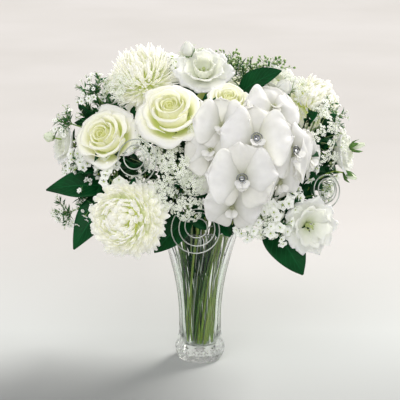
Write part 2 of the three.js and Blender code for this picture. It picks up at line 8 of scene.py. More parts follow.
import bpy
import numpy as np
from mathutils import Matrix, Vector


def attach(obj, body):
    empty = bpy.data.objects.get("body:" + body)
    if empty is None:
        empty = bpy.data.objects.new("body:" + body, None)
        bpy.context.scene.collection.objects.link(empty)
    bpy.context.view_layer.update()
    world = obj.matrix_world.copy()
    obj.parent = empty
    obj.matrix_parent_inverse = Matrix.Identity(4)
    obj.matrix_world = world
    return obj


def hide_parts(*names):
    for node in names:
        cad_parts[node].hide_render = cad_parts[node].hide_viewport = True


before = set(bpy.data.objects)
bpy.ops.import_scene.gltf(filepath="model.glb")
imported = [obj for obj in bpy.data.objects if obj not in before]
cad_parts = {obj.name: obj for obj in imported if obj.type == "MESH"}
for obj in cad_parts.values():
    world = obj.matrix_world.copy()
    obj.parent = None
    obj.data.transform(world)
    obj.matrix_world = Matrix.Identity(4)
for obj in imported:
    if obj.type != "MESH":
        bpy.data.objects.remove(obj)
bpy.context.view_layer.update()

METRE = 0.001  # one millimetre in metres

# The places of the CAD source. A bloom is (middle, (turn, rise) of its face in degrees, radius, openness).
GAP = 0.5  # between solids that sit on each other
VASE_PANELS = 12
CUT_DEPTH = 1.6
# The glass: (radius, height, how deep it is cut as a share of CUT_DEPTH) outside, (radius, height) inside
VASE_OUTER = [
    (30, 0, 0.8), (34, 8, 1.5), (35.5, 19, 1.8), (31.5, 30, 1.3), (29.8, 48, 1.1), (30.4, 76, 1.1),
    (34.6, 112, 1.2), (43.4, 150, 1.3), (53.5, 182, 0.8), (59.5, 195, 0),
]
VASE_INNER = [(57, 195), (50.5, 182), (39.8, 150), (30.6, 112), (26.2, 76), (25, 45), (20, 21)]
WATER_HEIGHT = 150
# The bunch of stems in the vase: (height, radius, turn in degrees) of each of its levels
BUNCH = [(22, 18.2, -34), (62, 23, -18), (110, 27.6, 2), (151, 36.5, 18), (197, 50, 30)]
STEM_SPACE = 1.8  # between two stems in the vase
LEAN_HEIGHT = 150  # the height on the axis that the stems lean away from

ROSES = {
    "rose_left": ((-126, -66, 334), (-24, 30), 40, 0.7),
    "rose_middle": ((-38, -84, 370), (-8, 48), 44, 1),
    "rose_right": ((38, -62, 380), (8, 55), 31, 0.2),
    "rose_back": ((24, 92, 368), (172, 45), 43, 0.8),
}
MUMS = {
    "mum_low_left": ((-95, -108, 233), (-32, 8), 51, 1),
    "mum_top_left": ((-76, 8, 398), (-40, 62), 50, 1),
    "mum_right": ((155, 22, 362), (60, 38), 39, 1),
    "mum_back": ((-14, 136, 276), (178, 8), 50, 1),
}
# Branched stems: (kind, fork, (turn, rise) of the stem at its fork, blooms)
BRANCHED = {
    "orchid_spray": ("orchid", (62, -84, 300), (20, 40), {
        "orchid_upper": ((73, -140, 348), (8, 22), 44, 1),
        "orchid_lower": ((54, -170, 302), (0, 4), 43, 1),
        "orchid_right": ((124, -115, 326), (46, 14), 39, 1),
        "orchid_top": ((98, -84, 380), (22, 48), 36, 1),
        "orchid_left": ((14, -126, 330), (-20, 18), 39, 1),
        "orchid_low": ((42, -142, 256), (-8, -16), 36, 1),
    }),
    "lisianthus_top": ("lisianthus", (46, 16, 330), (60, 75), {
        "lisianthus_top_middle": ((5, -14, 416), (2, 52), 38, 1),
        "lisianthus_top_right": ((106, -2, 398), (30, 55), 30, 0.4),
    }),
    "lisianthus_right": ("lisianthus", (112, -16, 222), (70, 10), {
        "lisianthus_low_right": ((149, -86, 216), (22, 4), 37, 1),
        "lisianthus_far_right": ((197, -8, 300), (72, 8), 34, 0.4),
    }),
    "lisianthus_left": ("lisianthus", (-116, 14, 262), (-70, 25), {
        "lisianthus_far_left": ((-186, -6, 312), (-62, 12), 28, 0.5),
    }),
    "lisianthus_back": ("lisianthus", (84, 70, 262), (130, 20), {
        "lisianthus_back_right": ((118, 100, 282), (130, 10), 36, 0.8),
    }),
}
JEWELLED = ("orchid_upper", "orchid_lower", "orchid_right")

# Sprays: (middle, face, reach, half angle of the cone, kind)
UMBELS = {
    "lace_middle": ((-50, -104, 300), (-10, 10), 44, 64, "lace"),
    "lace_right": ((182, -34, 330), (66, 18), 50, 62, "lace"),
    "aster_upper_left": ((-150, 6, 372), (-60, 42), 60, 56, "aster"),
    "aster_low_left": ((-168, -48, 236), (-66, -8), 50, 56, "aster"),
    "buds_top": ((72, 22, 420), (40, 66), 44, 62, "bud"),
    "lace_low_right": ((96, -112, 226), (30, -14), 34, 60, "lace"),
    "lace_back": ((-88, 112, 330), (-142, 25), 46, 62, "lace"),
}
# Twigs: the end, and for each leaf (tip, side that faces up, half width)
TWIGS = {
    "salal_left": ((-116, -48, 262), [
        ((-211, -40, 255), (-0.1, -0.6, 0.8), 24), ((-172, -74, 180), (-0.5, -0.85, 0.2), 23)]),
    "salal_front": ((-12, -66, 230), [
        ((-62, -76, 176), (-0.2, -0.85, 0.4), 20), ((34, -70, 268), (0.1, -0.85, 0.5), 19)]),
    "salal_right": ((92, -60, 222), [
        ((140, -84, 147), (0.25, -0.9, 0.3), 27), ((150, -42, 270), (0.05, -0.9, 0.4), 20)]),
    "salal_top": ((52, -8, 384), [((110, -38, 420), (-0.3, -0.7, 0.7), 19)]),
    "salal_back_left": ((-70, 84, 214), [
        ((-124, 142, 178), (-0.3, 0.5, 0.8), 25), ((-36, 168, 196), (0, 0.4, 0.9), 24)]),
    "salal_back_right": ((98, 60, 214), [
        ((186, 66, 196), (0.3, 0.2, 0.9), 25), ((112, 150, 186), (0.2, 0.4, 0.9), 24)]),
}
# Scrolls: (middle, face, outer radius, inner radius, turns, start angle, points on the way from the rim)
SCROLLS = {
    "scroll_middle": ((-4, -92, 212), (0, 6), 38, 11, 3.2, 25, [(22, -58, 210), (37, -80, 226)]),
    "scroll_left": ((-84, -136, 318), (-20, 14), 30, 10, 2.4, -60, [(-34, -70, 262), (-60, -118, 288)]),
    "scroll_right": ((170, -66, 260), (30, 10), 24, 9, 2.6, -100, [(84, -18, 232), (146, -34, 236)]),
}
WIRE_RADIUS = 1.0
# For each kind: how thick its stem is, how deep a bloom is rooted as a share of its radius, the radius at
# which its shape is drawn, and the radius and length of the cup under it
STEM_RADIUS = {"rose": 2.5, "mum": 2.3, "lisianthus": 1.9, "orchid": 2.2, "umbel": 1.5, "twig": 2.2}
ROOT_DEPTH = {"rose": 0.5, "mum": 0.72, "lisianthus": 0.5, "orchid": 0.19}
NOMINAL_RADIUS = {"rose": 40, "mum": 50, "lisianthus": 36, "orchid": 43}
CALYX = {"rose": (8, 6), "mum": (8, 5), "lisianthus": (5, 6), "orchid": (3, 3)}
COLUMN_TOP = 11  # of an orchid's column, above its root

# Small filler that only the looks have: (middle, face, reach, kind). Each branches off the nearest stem.
FILLS = [
    ((-30, -120, 306), (0, 12), 24, "lace"), ((-54, -110, 262), (-14, 0), 24, "lace"),
    ((-18, -108, 244), (0, -6), 20, "lace"), ((-76, -92, 326), (-24, 20), 17, "lace"),
    ((2, -100, 356), (4, 34), 18, "lace"), ((-8, -112, 282), (4, 0), 18, "lace"),
    ((182, -14, 372), (60, 35), 22, "aster"), ((130, -24, 398), (40, 50), 20, "lace"),
    ((150, -66, 290), (44, 2), 24, "star"), ((128, -96, 256), (36, 4), 26, "star"),
    ((92, -120, 238), (24, -8), 26, "star"), ((112, -112, 214), (34, -14), 24, "star"),
    ((64, -122, 220), (10, -16), 22, "star"), ((176, -48, 244), (56, -8), 22, "aster"),
    ((-172, -40, 300), (-66, 8), 30, "star"), ((-130, -78, 288), (-40, -4), 26, "star"),
    ((-196, -16, 348), (-74, 18), 30, "aster"), ((-188, -10, 276), (-74, -6), 30, "aster"),
    ((-154, -24, 400), (-56, 50), 34, "aster"), ((-196, -36, 214), (-66, -20), 30, "aster"),
    ((-44, 10, 430), (-20, 70), 24, "star"), ((-112, -16, 400), (-50, 45), 26, "lace"),
    ((40, 30, 430), (10, 80), 28, "bud"), ((-10, 40, 430), (-20, 76), 28, "lace"),
    ((104, 20, 424), (40, 62), 30, "bud"), ((196, 10, 350), (78, 24), 34, "aster"),
    ((-140, 40, 340), (-80, 25), 32, "aster"), ((-90, 60, 392), (-110, 55), 32, "lace"),
    ((86, 80, 372), (130, 50), 34, "lace"), ((150, 70, 316), (115, 20), 34, "lace"),
    ((20, 150, 330), (175, 25), 34, "lace"), ((66, 132, 260), (150, 5), 34, "star"),
    ((-110, 100, 262), (-130, 5), 34, "aster"), ((-160, 40, 256), (-95, 0), 32, "star"),
    ((186, 40, 250), (105, 0), 32, "star"), ((-40, 120, 376), (-165, 45), 30, "lace"),
    ((140, 30, 250), (100, -5), 30, "aster"), ((-30, 110, 220), (180, -20), 32, "star"),
    ((-78, -76, 296), (-20, 10), 34, "leaf"), ((-22, -74, 302), (0, 10), 24, "leaf"),
    ((-84, -20, 336), (-30, 60), 18, "leaf"), ((30, -72, 244), (0, -10), 32, "leaf"),
    ((-38, -82, 252), (-10, -10), 32, "leaf"), ((104, -76, 246), (30, 0), 32, "leaf"),
    ((140, -50, 300), (50, 10), 30, "leaf"), ((12, -66, 352), (0, 50), 22, "leaf"),
    ((-140, -40, 280), (-60, 0), 34, "leaf"), ((-134, -16, 340), (-50, 34), 28, "leaf"),
    ((156, -24, 338), (56, 30), 26, "leaf"), ((-30, 26, 396), (-10, 70), 28, "leaf"),
    ((0, 104, 300), (180, 20), 40, "leaf"), ((-92, 72, 290), (-130, 10), 40, "leaf"),
    ((90, 64, 306), (130, 25), 26, "leaf"), ((66, 108, 236), (160, 0), 36, "leaf"),
    ((-36, 54, 374), (-160, 60), 26, "leaf"), ((150, 16, 268), (90, 0), 34, "leaf"),
    ((168, -4, 302), (60, 6), 28, "leaf"), ((156, -24, 300), (56, 4), 22, "lace"),
]
FILL_CONE = 66  # half angle in degrees
# Smaller orchids round the spray, which only the looks have: (middle, face, radius)
SIDE_ORCHIDS = [
    ((106, -118, 284), (34, -16), 36), ((146, -88, 310), (60, 2), 36), ((28, -122, 362), (-10, 16), 35),
    ((22, -118, 288), (-24, -10), 34),
]
# Buds: (foot, way it points, length, half width, whether it is still green)
BUDS = [
    ((-200, -12, 322), (-1, -0.25, 0.3), 15, 6.5, True), ((-16, -8, 434), (-0.1, -0.3, 1), 22, 9, False),
    ((10, -84, 380), (0.1, -0.6, 0.8), 12, 5.5, False), ((110, -32, 388), (0.3, -0.5, 0.8), 24, 10, False),
    ((206, -10, 308), (1, -0.3, 0.3), 22, 3.4, True), ((198, -16, 274), (0.9, -0.4, -0.35), 20, 3.4, True),
]
NECK_LEAVES = 26
# The first seed of each kind of piece: each run draws the same numbers
SEEDS = {
    "stalks": 7, "rose": 101, "mum": 201, "orchid": 301, "side_orchid": 331, "lisianthus": 401, "umbel": 501,
    "fill": 601, "bud": 801, "neck": 900,
}


# Small helpers
GOLDEN_ANGLE = math.pi * (3 - math.sqrt(5))  # from one floret or ray to the next, as plants grow them


def unit(vector):
    vector = np.asarray(vector, float)
    return vector / np.linalg.norm(vector, axis=-1, keepdims=True)


def direction(turn, rise):
    """The unit vector that points turn degrees from the front towards +X and rise degrees above level."""
    level = math.cos(math.radians(rise))
    return np.array([
        math.sin(math.radians(turn)) * level,
        -math.cos(math.radians(turn)) * level,
        math.sin(math.radians(rise)),
    ])


def spoke(angle):
    """The level unit vector at this angle."""
    return np.array([math.cos(angle), math.sin(angle), 0.0])


def axes_of(facing):
    """The right, up and outward axes of a bloom, as rows."""
    right = unit(np.cross([0, 0, 1], facing))
    return np.stack([right, np.cross(facing, right), facing])


def placed(points, base, facing, scale=1.0):
    return np.asarray(base, float) + scale * np.asarray(points) @ axes_of(facing)


def bezier(points, count):
    """count + 1 points of the Bezier curve with these handles."""
    t = np.linspace(0, 1, count + 1)[:, None]
    degree = len(points) - 1
    return sum(
        math.comb(degree, k) * t**k * (1 - t) ** (degree - k) * np.asarray(point)
        for k, point in enumerate(points))


# How stiffly a stem leaves its start and comes to its end, as shares of the way between them
STEM_PULLS = (0.35, 0.35)
BRANCH_PULLS = (0.25, 0.4)


def arc(start, leave, goal, arrive, pulls, count):
    """A line that leaves start along leave and reaches goal along arrive, each with its own pull."""
    reach = np.linalg.norm(start - goal)
    return bezier([start, start + pulls[0] * reach * leave, goal - pulls[1] * reach * arrive, goal], count)


def smooth_line(points, count):
    """A smooth line through the points, with count steps to each stretch."""
    ends = np.asarray(points, float)
    ends = np.vstack([2 * ends[0] - ends[1], ends, 2 * ends[-1] - ends[-2]])
    t = np.linspace(0, 1, count, endpoint=False)[:, None]
    found = []
    for a, b, c, d in zip(ends, ends[1:], ends[2:], ends[3:]):
        bend = (2 * a - 5 * b + 4 * c - d) / 2
        sway = (3 * b - a - 3 * c + d) / 2
        found.append(b + t * (c - a) / 2 + t**2 * bend + t**3 * sway)
    return np.vstack([*found, ends[-2][None]])


def ease(value, low, high):
    """0 below low, 1 above high and smooth between."""
    t = np.clip((value - low) / (high - low), 0, 1)
    return t * t * (3 - 2 * t)


# Nodes and materials
def linear(hex_colour):
    """An sRGB hex colour as Blender's linear RGBA."""
    channels = [int(hex_colour[i:i + 2], 16) / 255 for i in (1, 3, 5)]
    return [c / 12.92 if c <= 0.04045 else ((c + 0.055) / 1.055) ** 2.4 for c in channels] + [1.0]


def add_node(tree, kind, settings=None, inputs=None):
    """Adds a node with its settings, and with a value or a link for each input that is named."""
    made = tree.nodes.new(kind)
    for name, value in (settings or {}).items():
        setattr(made, name, value)
    for key, value in (inputs or {}).items():
        socket = next(s for s in made.inputs if s.enabled and key in (s.identifier, s.name))
        if isinstance(value, bpy.types.Node):
            value = next(s for s in value.outputs if s.enabled)
        if isinstance(value, bpy.types.NodeSocket):
            tree.links.new(value, socket)
        else:
            socket.default_value = value
    return made


def new_material(name, sockets):
    """A material whose Principled shader has these values, with its tree and shader."""
    made = bpy.data.materials.new(name)
    made.use_nodes = True
    shader = made.node_tree.nodes["Principled BSDF"]
    for key, value in sockets.items():
        shader.inputs[key].default_value = value
    return made, made.node_tree, shader


def set_ramp(ramp, stops):
    elements = ramp.color_ramp.elements
    while len(elements) < len(stops):
        elements.new(0.5)
    for element, (place, colour) in zip(elements, stops):
        element.position = place
        element.color = linear(colour)


MOTTLE_SCALE = 90.0  # petals: patches about 11 mm wide
LEAF_MOTTLE_SCALE = 45.0  # leaves: patches about 22 mm wide
STREAK_SCALE = 900.0  # stems: streaks about 1 mm apart


def petal_material(name, along, deep, vein_count, vein_depth, soft, rough, glow):
    """A petal: its colour runs from root to edge, is deeper where its shade is high, and fine veins run
    along. A little glow stands for the light that comes through so thin a tissue."""
    made, tree, shader = new_material(name, {
        "Roughness": rough, "Subsurface Weight": soft, "Subsurface Radius": (1.0, 1.0, 0.8),
        "Subsurface Scale": 0.004, "Sheen Weight": 0.12, "Sheen Roughness": 0.4, "IOR": 1.4,
        "Specular IOR Level": 0.3, "Emission Strength": glow,
    })
    place = add_node(tree, "ShaderNodeUVMap", {"uv_map": "UVMap"})
    split = add_node(tree, "ShaderNodeSeparateXYZ", inputs={"Vector": place})
    ramp = add_node(tree, "ShaderNodeValToRGB", inputs={"Fac": split.outputs["Y"]})
    set_ramp(ramp, along)
    shade = add_node(tree, "ShaderNodeAttribute", {"attribute_name": "shade"})
    tinted = add_node(tree, "ShaderNodeMix", {"data_type": "RGBA", "blend_type": "MULTIPLY"}, {
        "Factor": shade.outputs["Fac"], "A_Color": ramp, "B_Color": linear(deep)})
    solid = add_node(tree, "ShaderNodeTexCoord")
    mottle = add_node(tree, "ShaderNodeTexNoise", inputs={
        "Vector": solid.outputs["Object"], "Scale": MOTTLE_SCALE, "Detail": 3.0})
    spread = add_node(tree, "ShaderNodeMapRange", inputs={
        "Value": mottle.outputs["Fac"], "From Min": 0.3, "From Max": 0.7, "To Min": 0.93, "To Max": 1.03})
    mottled = add_node(tree, "ShaderNodeVectorMath", {"operation": "SCALE"}, {
        "Vector": tinted, "Scale": spread})
    stretch = add_node(tree, "ShaderNodeMapping", inputs={
        "Vector": place, "Scale": (vein_count, vein_count * 0.12, 1.0)})
    veins = add_node(tree, "ShaderNodeTexNoise", inputs={
        "Vector": stretch, "Scale": 1.0, "Detail": 2.0, "Roughness": 0.5})
    bump = add_node(tree, "ShaderNodeBump", inputs={
        "Height": veins.outputs["Fac"], "Strength": 0.5, "Distance": vein_depth * METRE})
    tree.links.new(mottled.outputs[0], shader.inputs["Base Color"])
    tree.links.new(mottled.outputs[0], shader.inputs["Emission Color"])
    tree.links.new(bump.outputs[0], shader.inputs["Normal"])
    return made


# Rose petal: velvety, cream at the rolled lip and yellow-green in the folds; the veins are 1 mm apart
ROSE_PETAL = petal_material(
    "rose petal",
    [(0.0, "#BCCB58"), (0.35, "#DDE49C"), (0.62, "#F5F4D6"), (0.82, "#FBFAEC"), (1.0, "#FEFCF2")],
    "#ECEFB4", vein_count=34, vein_depth=0.10, soft=0.6, rough=0.55, glow=0.12)
# Chrysanthemum ray: matt, cream at the tip and pale green at the root, with two keels along it
MUM_PETAL = petal_material(
    "chrysanthemum petal", [(0.0, "#C0CE7C"), (0.3, "#E6EBC0"), (0.6, "#F9F8E8"), (1.0, "#FFFEF6")],
    "#DFE680", vein_count=6, vein_depth=0.12, soft=0.6, rough=0.6, glow=0.15)
# Moth orchid petal: waxy white with a cool bloom and faint grey veins that fan from its root
ORCHID_PETAL = petal_material(
    "orchid petal", [(0.0, "#A9AC8E"), (0.14, "#D2D2C8"), (0.42, "#EFEEEA"), (1.0, "#FBFAF8")],
    "#DFDED6", vein_count=22, vein_depth=0.2, soft=0.5, rough=0.42, glow=0.10)
# Lisianthus petal: papery and translucent, greenish at its base
LISIANTHUS_PETAL = petal_material(
    "lisianthus petal", [(0.0, "#AEBA80"), (0.2, "#E2E6D2"), (0.45, "#F3F4EC"), (1.0, "#FBFBF8")],
    "#E6EAD2", vein_count=30, vein_depth=0.18, soft=0.6, rough=0.55, glow=0.08)
# Filler floret: chalky white round a green eye
FLORET = petal_material(
    "filler floret", [(0.0, "#9DB153"), (0.15, "#CFDAA6"), (0.3, "#F4F6EE"), (1.0, "#FCFDFA")],
    "#E6ECD8", vein_count=8, vein_depth=0.05, soft=0.2, rough=0.6, glow=0.12)
# Closed filler bud: green with a white tip
GREEN_BUD = petal_material(
    "green bud", [(0.0, "#3F6E2C"), (0.5, "#86A85C"), (0.8, "#DDE6C4"), (1.0, "#F6F8EC")],
    "#D6E0B4", vein_count=6, vein_depth=0.05, soft=0.2, rough=0.6, glow=0.05)


def stem_material(name, colours, rough):
    """Green stem: streaks run up it, and its tint changes from stem to stem with the shade."""
    made, tree, shader = new_material(name, {
        "Roughness": rough, "Subsurface Weight": 0.1, "Subsurface Scale": 0.001, "IOR": 1.42})
    solid = add_node(tree, "ShaderNodeTexCoord")
    stretch = add_node(tree, "ShaderNodeMapping", inputs={
        "Vector": solid.outputs["Object"], "Scale": (STREAK_SCALE, STREAK_SCALE, STREAK_SCALE * 0.08)})
    grain = add_node(tree, "ShaderNodeTexNoise", inputs={"Vector": stretch, "Scale": 1.0, "Detail": 3.0})
    shade = add_node(tree, "ShaderNodeAttribute", {"attribute_name": "shade"})
    own = add_node(tree, "ShaderNodeMath", {"operation": "MULTIPLY"}, {
        "Value": shade.outputs["Fac"], "Value_001": 0.7})
    tint = add_node(tree, "ShaderNodeMath", {"operation": "MULTIPLY_ADD"}, {
        "Value": grain.outputs["Fac"], "Value_001": 0.45, "Value_002": own})
    ramp = add_node(tree, "ShaderNodeValToRGB", inputs={"Fac": tint})
    set_ramp(ramp, colours)
    bump = add_node(tree, "ShaderNodeBump", inputs={
        "Height": grain.outputs["Fac"], "Strength": 0.4, "Distance": 0.2 * METRE})
    tree.links.new(ramp.outputs[0], shader.inputs["Base Color"])
    tree.links.new(bump.outputs[0], shader.inputs["Normal"])
    return made


# Cut stems under water: satin, from yellow-green to deep green
STEM = stem_material(
    "green stem", [(0.15, "#1B4411"), (0.4, "#4A8222"), (0.65, "#8AB03C"), (0.95, "#CCD987")], rough=0.4)
# The thin rays of a filler spray: pale green and dull
RAY = stem_material("spray stem", [(0.2, "#4E7A34"), (0.5, "#7FA357"), (0.8, "#B6CB93")], rough=0.6)


SIDE_VEINS = 62.0 / (2 * math.pi)  # on each side of a leaf's midrib, about ten


def leaf_material(name, blade, edge, vein, rough, coat):
    """A leaf: a pale midrib with side veins at a slant, and a gloss that breaks up over the blade."""
    made, tree, shader = new_material(name, {
        "Roughness": rough, "IOR": 1.45, "Specular IOR Level": 0.18, "Coat Weight": coat,
        "Coat Roughness": 0.25, "Subsurface Weight": 0.05, "Subsurface Scale": 0.001})
    place = add_node(tree, "ShaderNodeUVMap", {"uv_map": "UVMap"})
    split = add_node(tree, "ShaderNodeSeparateXYZ", inputs={"Vector": place})
    centred = add_node(tree, "ShaderNodeMath", {"operation": "SUBTRACT"}, {
        "Value": split.outputs["X"], "Value_001": 0.5})
    off_rib = add_node(tree, "ShaderNodeMath", {"operation": "ABSOLUTE"}, {"Value": centred})
    slant = add_node(tree, "ShaderNodeMath", {"operation": "MULTIPLY_ADD"}, {
        "Value": off_rib, "Value_001": -0.55, "Value_002": split.outputs["Y"]})
    waves = add_node(tree, "ShaderNodeMath", {"operation": "MULTIPLY"}, {
        "Value": slant, "Value_001": 2 * math.pi * SIDE_VEINS})
    lines = add_node(tree, "ShaderNodeMath", {"operation": "SINE"}, {"Value": waves})
    side = add_node(tree, "ShaderNodeMapRange", inputs={
        "Value": lines, "From Min": 0.86, "From Max": 1.0, "To Min": 0.0, "To Max": 0.55})
    rib = add_node(tree, "ShaderNodeMapRange", inputs={
        "Value": off_rib, "From Min": 0.035, "From Max": 0.008, "To Min": 0.0, "To Max": 0.9})
    either = add_node(tree, "ShaderNodeMath", {"operation": "MAXIMUM"}, {"Value": side, "Value_001": rib})
    solid = add_node(tree, "ShaderNodeTexCoord")
    mottle = add_node(tree, "ShaderNodeTexNoise", inputs={
        "Vector": solid.outputs["Object"], "Scale": LEAF_MOTTLE_SCALE, "Detail": 4.0})
    ramp = add_node(tree, "ShaderNodeValToRGB", inputs={"Fac": mottle.outputs["Fac"]})
    set_ramp(ramp, [(0.35, blade), (0.7, edge)])
    veined = add_node(tree, "ShaderNodeMix", {"data_type": "RGBA"}, {
        "Factor": either, "A_Color": ramp, "B_Color": linear(vein)})
    gloss = add_node(tree, "ShaderNodeMapRange", inputs={
        "Value": mottle.outputs["Fac"], "To Min": rough - 0.08, "To Max": rough + 0.14})
    bump = add_node(tree, "ShaderNodeBump", {"invert": True}, {
        "Height": either, "Strength": 0.6, "Distance": 0.5 * METRE})
    tree.links.new(veined.outputs[2], shader.inputs["Base Color"])
    tree.links.new(gloss.outputs[0], shader.inputs["Roughness"])
    tree.links.new(bump.outputs[0], shader.inputs["Normal"])
    return made


# Salal leaf: thick, leathery and glossy, with a paler midrib
SALAL = leaf_material("salal leaf", "#013A18", "#044E22", "#0E5A2E", rough=0.5, coat=0.03)
# Soft leaf of a cut flower: thinner, duller and a little bluer
SOFT_LEAF = leaf_material("soft leaf", "#062A10", "#124A20", "#2C6A34", rough=0.6, coat=0.0)
# Needle of a filler spray: fresh, matt mid green
NEEDLE = leaf_material("filler needle", "#1F5C2E", "#44854A", "#79A668", rough=0.6, coat=0.0)


def glass_material():
    """Crystal glass, pressed and fire polished: clear, with a cool gloss and soft ripples 17 mm wide."""
    made, tree, shader = new_material("crystal glass", {
        "Base Color": linear("#FCFEFD"), "Roughness": 0.0, "IOR": 1.42, "Transmission Weight": 1.0,
        "Specular Tint": linear("#B4B8B6")})
    solid = add_node(tree, "ShaderNodeTexCoord")
    ripple = add_node(tree, "ShaderNodeTexNoise", inputs={
        "Vector": solid.outputs["Object"], "Scale": 60.0, "Detail": 1.0})
    bump = add_node(tree, "ShaderNodeBump", inputs={
        "Height": ripple.outputs["Fac"], "Strength": 0.05, "Distance": 0.6 * METRE})
    tree.links.new(bump.outputs[0], shader.inputs["Normal"])
    return made


def water_material():
    """Still water that flowers have stood in: clear, with a faint green tint and ripples 25 mm wide."""
    made, tree, shader = new_material("vase water", {
        "Base Color": linear("#F2F8F0"), "Roughness": 0.0, "IOR": 1.03, "Transmission Weight": 1.0})
    solid = add_node(tree, "ShaderNodeTexCoord")
    ripple = add_node(tree, "ShaderNodeTexNoise", inputs={
        "Vector": solid.outputs["Object"], "Scale": 40.0, "Detail": 0.0})
    bump = add_node(tree, "ShaderNodeBump", inputs={
        "Height": ripple.outputs["Fac"], "Strength": 0.05, "Distance": 0.3 * METRE})
    tree.links.new(bump.outputs[0], shader.inputs["Normal"])
    return made


def wire_material():
    """Drawn aluminium craft wire: a soft silver whose gloss changes every millimetre or so."""
    made, tree, shader = new_material("aluminium wire", {
        "Base Color": linear("#C8CDC6"), "Metallic": 1.0, "Roughness": 0.3})
    solid = add_node(tree, "ShaderNodeTexCoord")
    drawn = add_node(tree, "ShaderNodeTexNoise", inputs={
        "Vector": solid.outputs["Object"], "Scale": 700.0, "Detail": 2.0})
    rough = add_node(tree, "ShaderNodeMapRange", inputs={
        "Value": drawn.outputs["Fac"], "To Min": 0.2, "To Max": 0.4})
    tree.links.new(rough.outputs[0], shader.inputs["Roughness"])
    return made


def stone_material():
    """Foil-backed cut stone: mirror bright facets about 2 mm wide, some of which look dark."""
    made, tree, shader = new_material("rhinestone", {
        "Base Color": linear("#DCE0E4"), "Metallic": 1.0, "Roughness": 0.06, "Coat Weight": 1.0,
        "Coat Roughness": 0.02})
    solid = add_node(tree, "ShaderNodeTexCoord")
    facets = add_node(tree, "ShaderNodeTexVoronoi", inputs={
        "Vector": solid.outputs["Object"], "Scale": 420.0})
    ramp = add_node(tree, "ShaderNodeValToRGB", inputs={"Fac": facets.outputs["Color"]})
    set_ramp(ramp, [(0.35, "#23262A"), (0.6, "#F4F6F8")])
    tree.links.new(ramp.outputs[0], shader.inputs["Base Color"])
    return made


GLASS = glass_material()
WATER = water_material()
WIRE = wire_material()
STONE = stone_material()
# Polished nickel setting round each stone
SETTING = new_material("stone setting", {
    "Base Color": linear("#8E9196"), "Metallic": 1.0, "Roughness": 0.16})[0]


# Meshes
def shell(grid, thick):
    """A thin closed sheet round a grid of points: its points, faces and UVs, across first and then along."""
    rows, columns = grid.shape[:2]
    along = np.gradient(grid, axis=0)
    over = np.gradient(grid, axis=1)
    normal = unit(np.cross(along, over) + 1e-12)
    across, up = np.meshgrid(np.linspace(0, 1, columns), np.linspace(0, 1, rows))
    index = np.arange(rows * columns).reshape(rows, columns)
    corners = (index[:-1, :-1], index[1:, :-1], index[1:, 1:], index[:-1, 1:])
    a, b, c, d = (corner.ravel() for corner in corners)
    back = rows * columns
    rim = np.concatenate([index[0, :], index[1:, -1], index[-1, -2::-1], index[-2:0:-1, 0]])
    following = np.roll(rim, -1)
    faces = np.vstack([
        np.stack([a, b, c, d], 1),
        np.stack([a, d, c, b], 1) + back,
        np.stack([rim, following, following + back, rim + back], 1),
    ])
    offset = (normal * thick / 2).reshape(-1, 3)
    flat = grid.reshape(-1, 3)
    uvs = np.stack([across.ravel(), up.ravel()], 1)
    return np.vstack([flat + offset, flat - offset]), faces, np.vstack([uvs, uvs])


class Form:
    """Geometry in millimetres that grows piece by piece: points, faces, UVs and a shade for each point."""

    def __init__(self):
        self.points, self.faces, self.uvs, self.shades, self.count = [], [], [], [], 0

    def add(self, points, faces, uvs=None, shade=0.0):
        points = np.asarray(points, float)
        self.points.append(points)
        self.faces.extend((np.asarray(faces) + self.count).tolist())
        self.uvs.append(np.zeros((len(points), 2)) if uvs is None else uvs)
        self.shades.append(np.broadcast_to(shade, len(points)).astype(float))
        self.count += len(points)

    def add_sheet(self, place, rows, columns, thick, shade=0.0):
        """Adds a thin sheet. place(u, v) has u from 0 to 1 along it and v from -1 to 1 across it."""
        u, v = np.meshgrid(np.linspace(0, 1, rows + 1), np.linspace(-1, 1, columns + 1), indexing="ij")
        self.add(*shell(place(u, v), thick), shade)

    def join(self, other, shade=0.0, points=None):
        """Adds another form, at these points if they are given."""
        self.faces.extend([[i + self.count for i in face] for face in other.faces])
        points = np.vstack(other.points) if points is None else points
        self.points.append(points)
        self.uvs.append(np.vstack(other.uvs))
        self.shades.append(np.full(len(points), shade))
        self.count += len(points)

    def placed(self, base, facing, scale=1.0):
        """The same form, drawn round the Z axis before and now at base with Z along facing."""
        self.points = [placed(np.vstack(self.points), base, facing, scale)]
        return self

    def mesh(self, name, material, smooth=True):
        made = bpy.data.meshes.new(name)
        made.from_pydata((np.vstack(self.points) * METRE).tolist(), [], self.faces)
        corners = np.zeros(len(made.loops), np.int32)
        made.loops.foreach_get("vertex_index", corners)
        layer = made.uv_layers.new(name="UVMap")
        layer.data.foreach_set("uv", np.vstack(self.uvs)[corners].astype(np.float32).ravel())
        shade = made.attributes.new("shade", "FLOAT", "POINT")
        shade.data.foreach_set("value", np.concatenate(self.shades).astype(np.float32))
        made.polygons.foreach_set("use_smooth", np.full(len(made.polygons), smooth))
        made.materials.append(material)
        made.update()
        return made


def show(mesh, name):
    made = bpy.data.objects.new(name, mesh)
    bpy.context.scene.collection.objects.link(made)
    return made


def piece(name, meshes, slot, *nodes):
    """Joins the meshes into one piece that rides on the only body and stands for the CAD nodes."""
    parts = [show(mesh, f"{name}_{i}") for i, mesh in enumerate(meshes)]
    whole = parts[0]
    if len(parts) > 1:
        with bpy.context.temp_override(active_object=whole, object=whole, selected_objects=parts,
                                       selected_editable_objects=parts):
            bpy.ops.object.join()
    whole.name = name
    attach(whole, "root")
    if nodes:
        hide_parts(*nodes)
    return whole


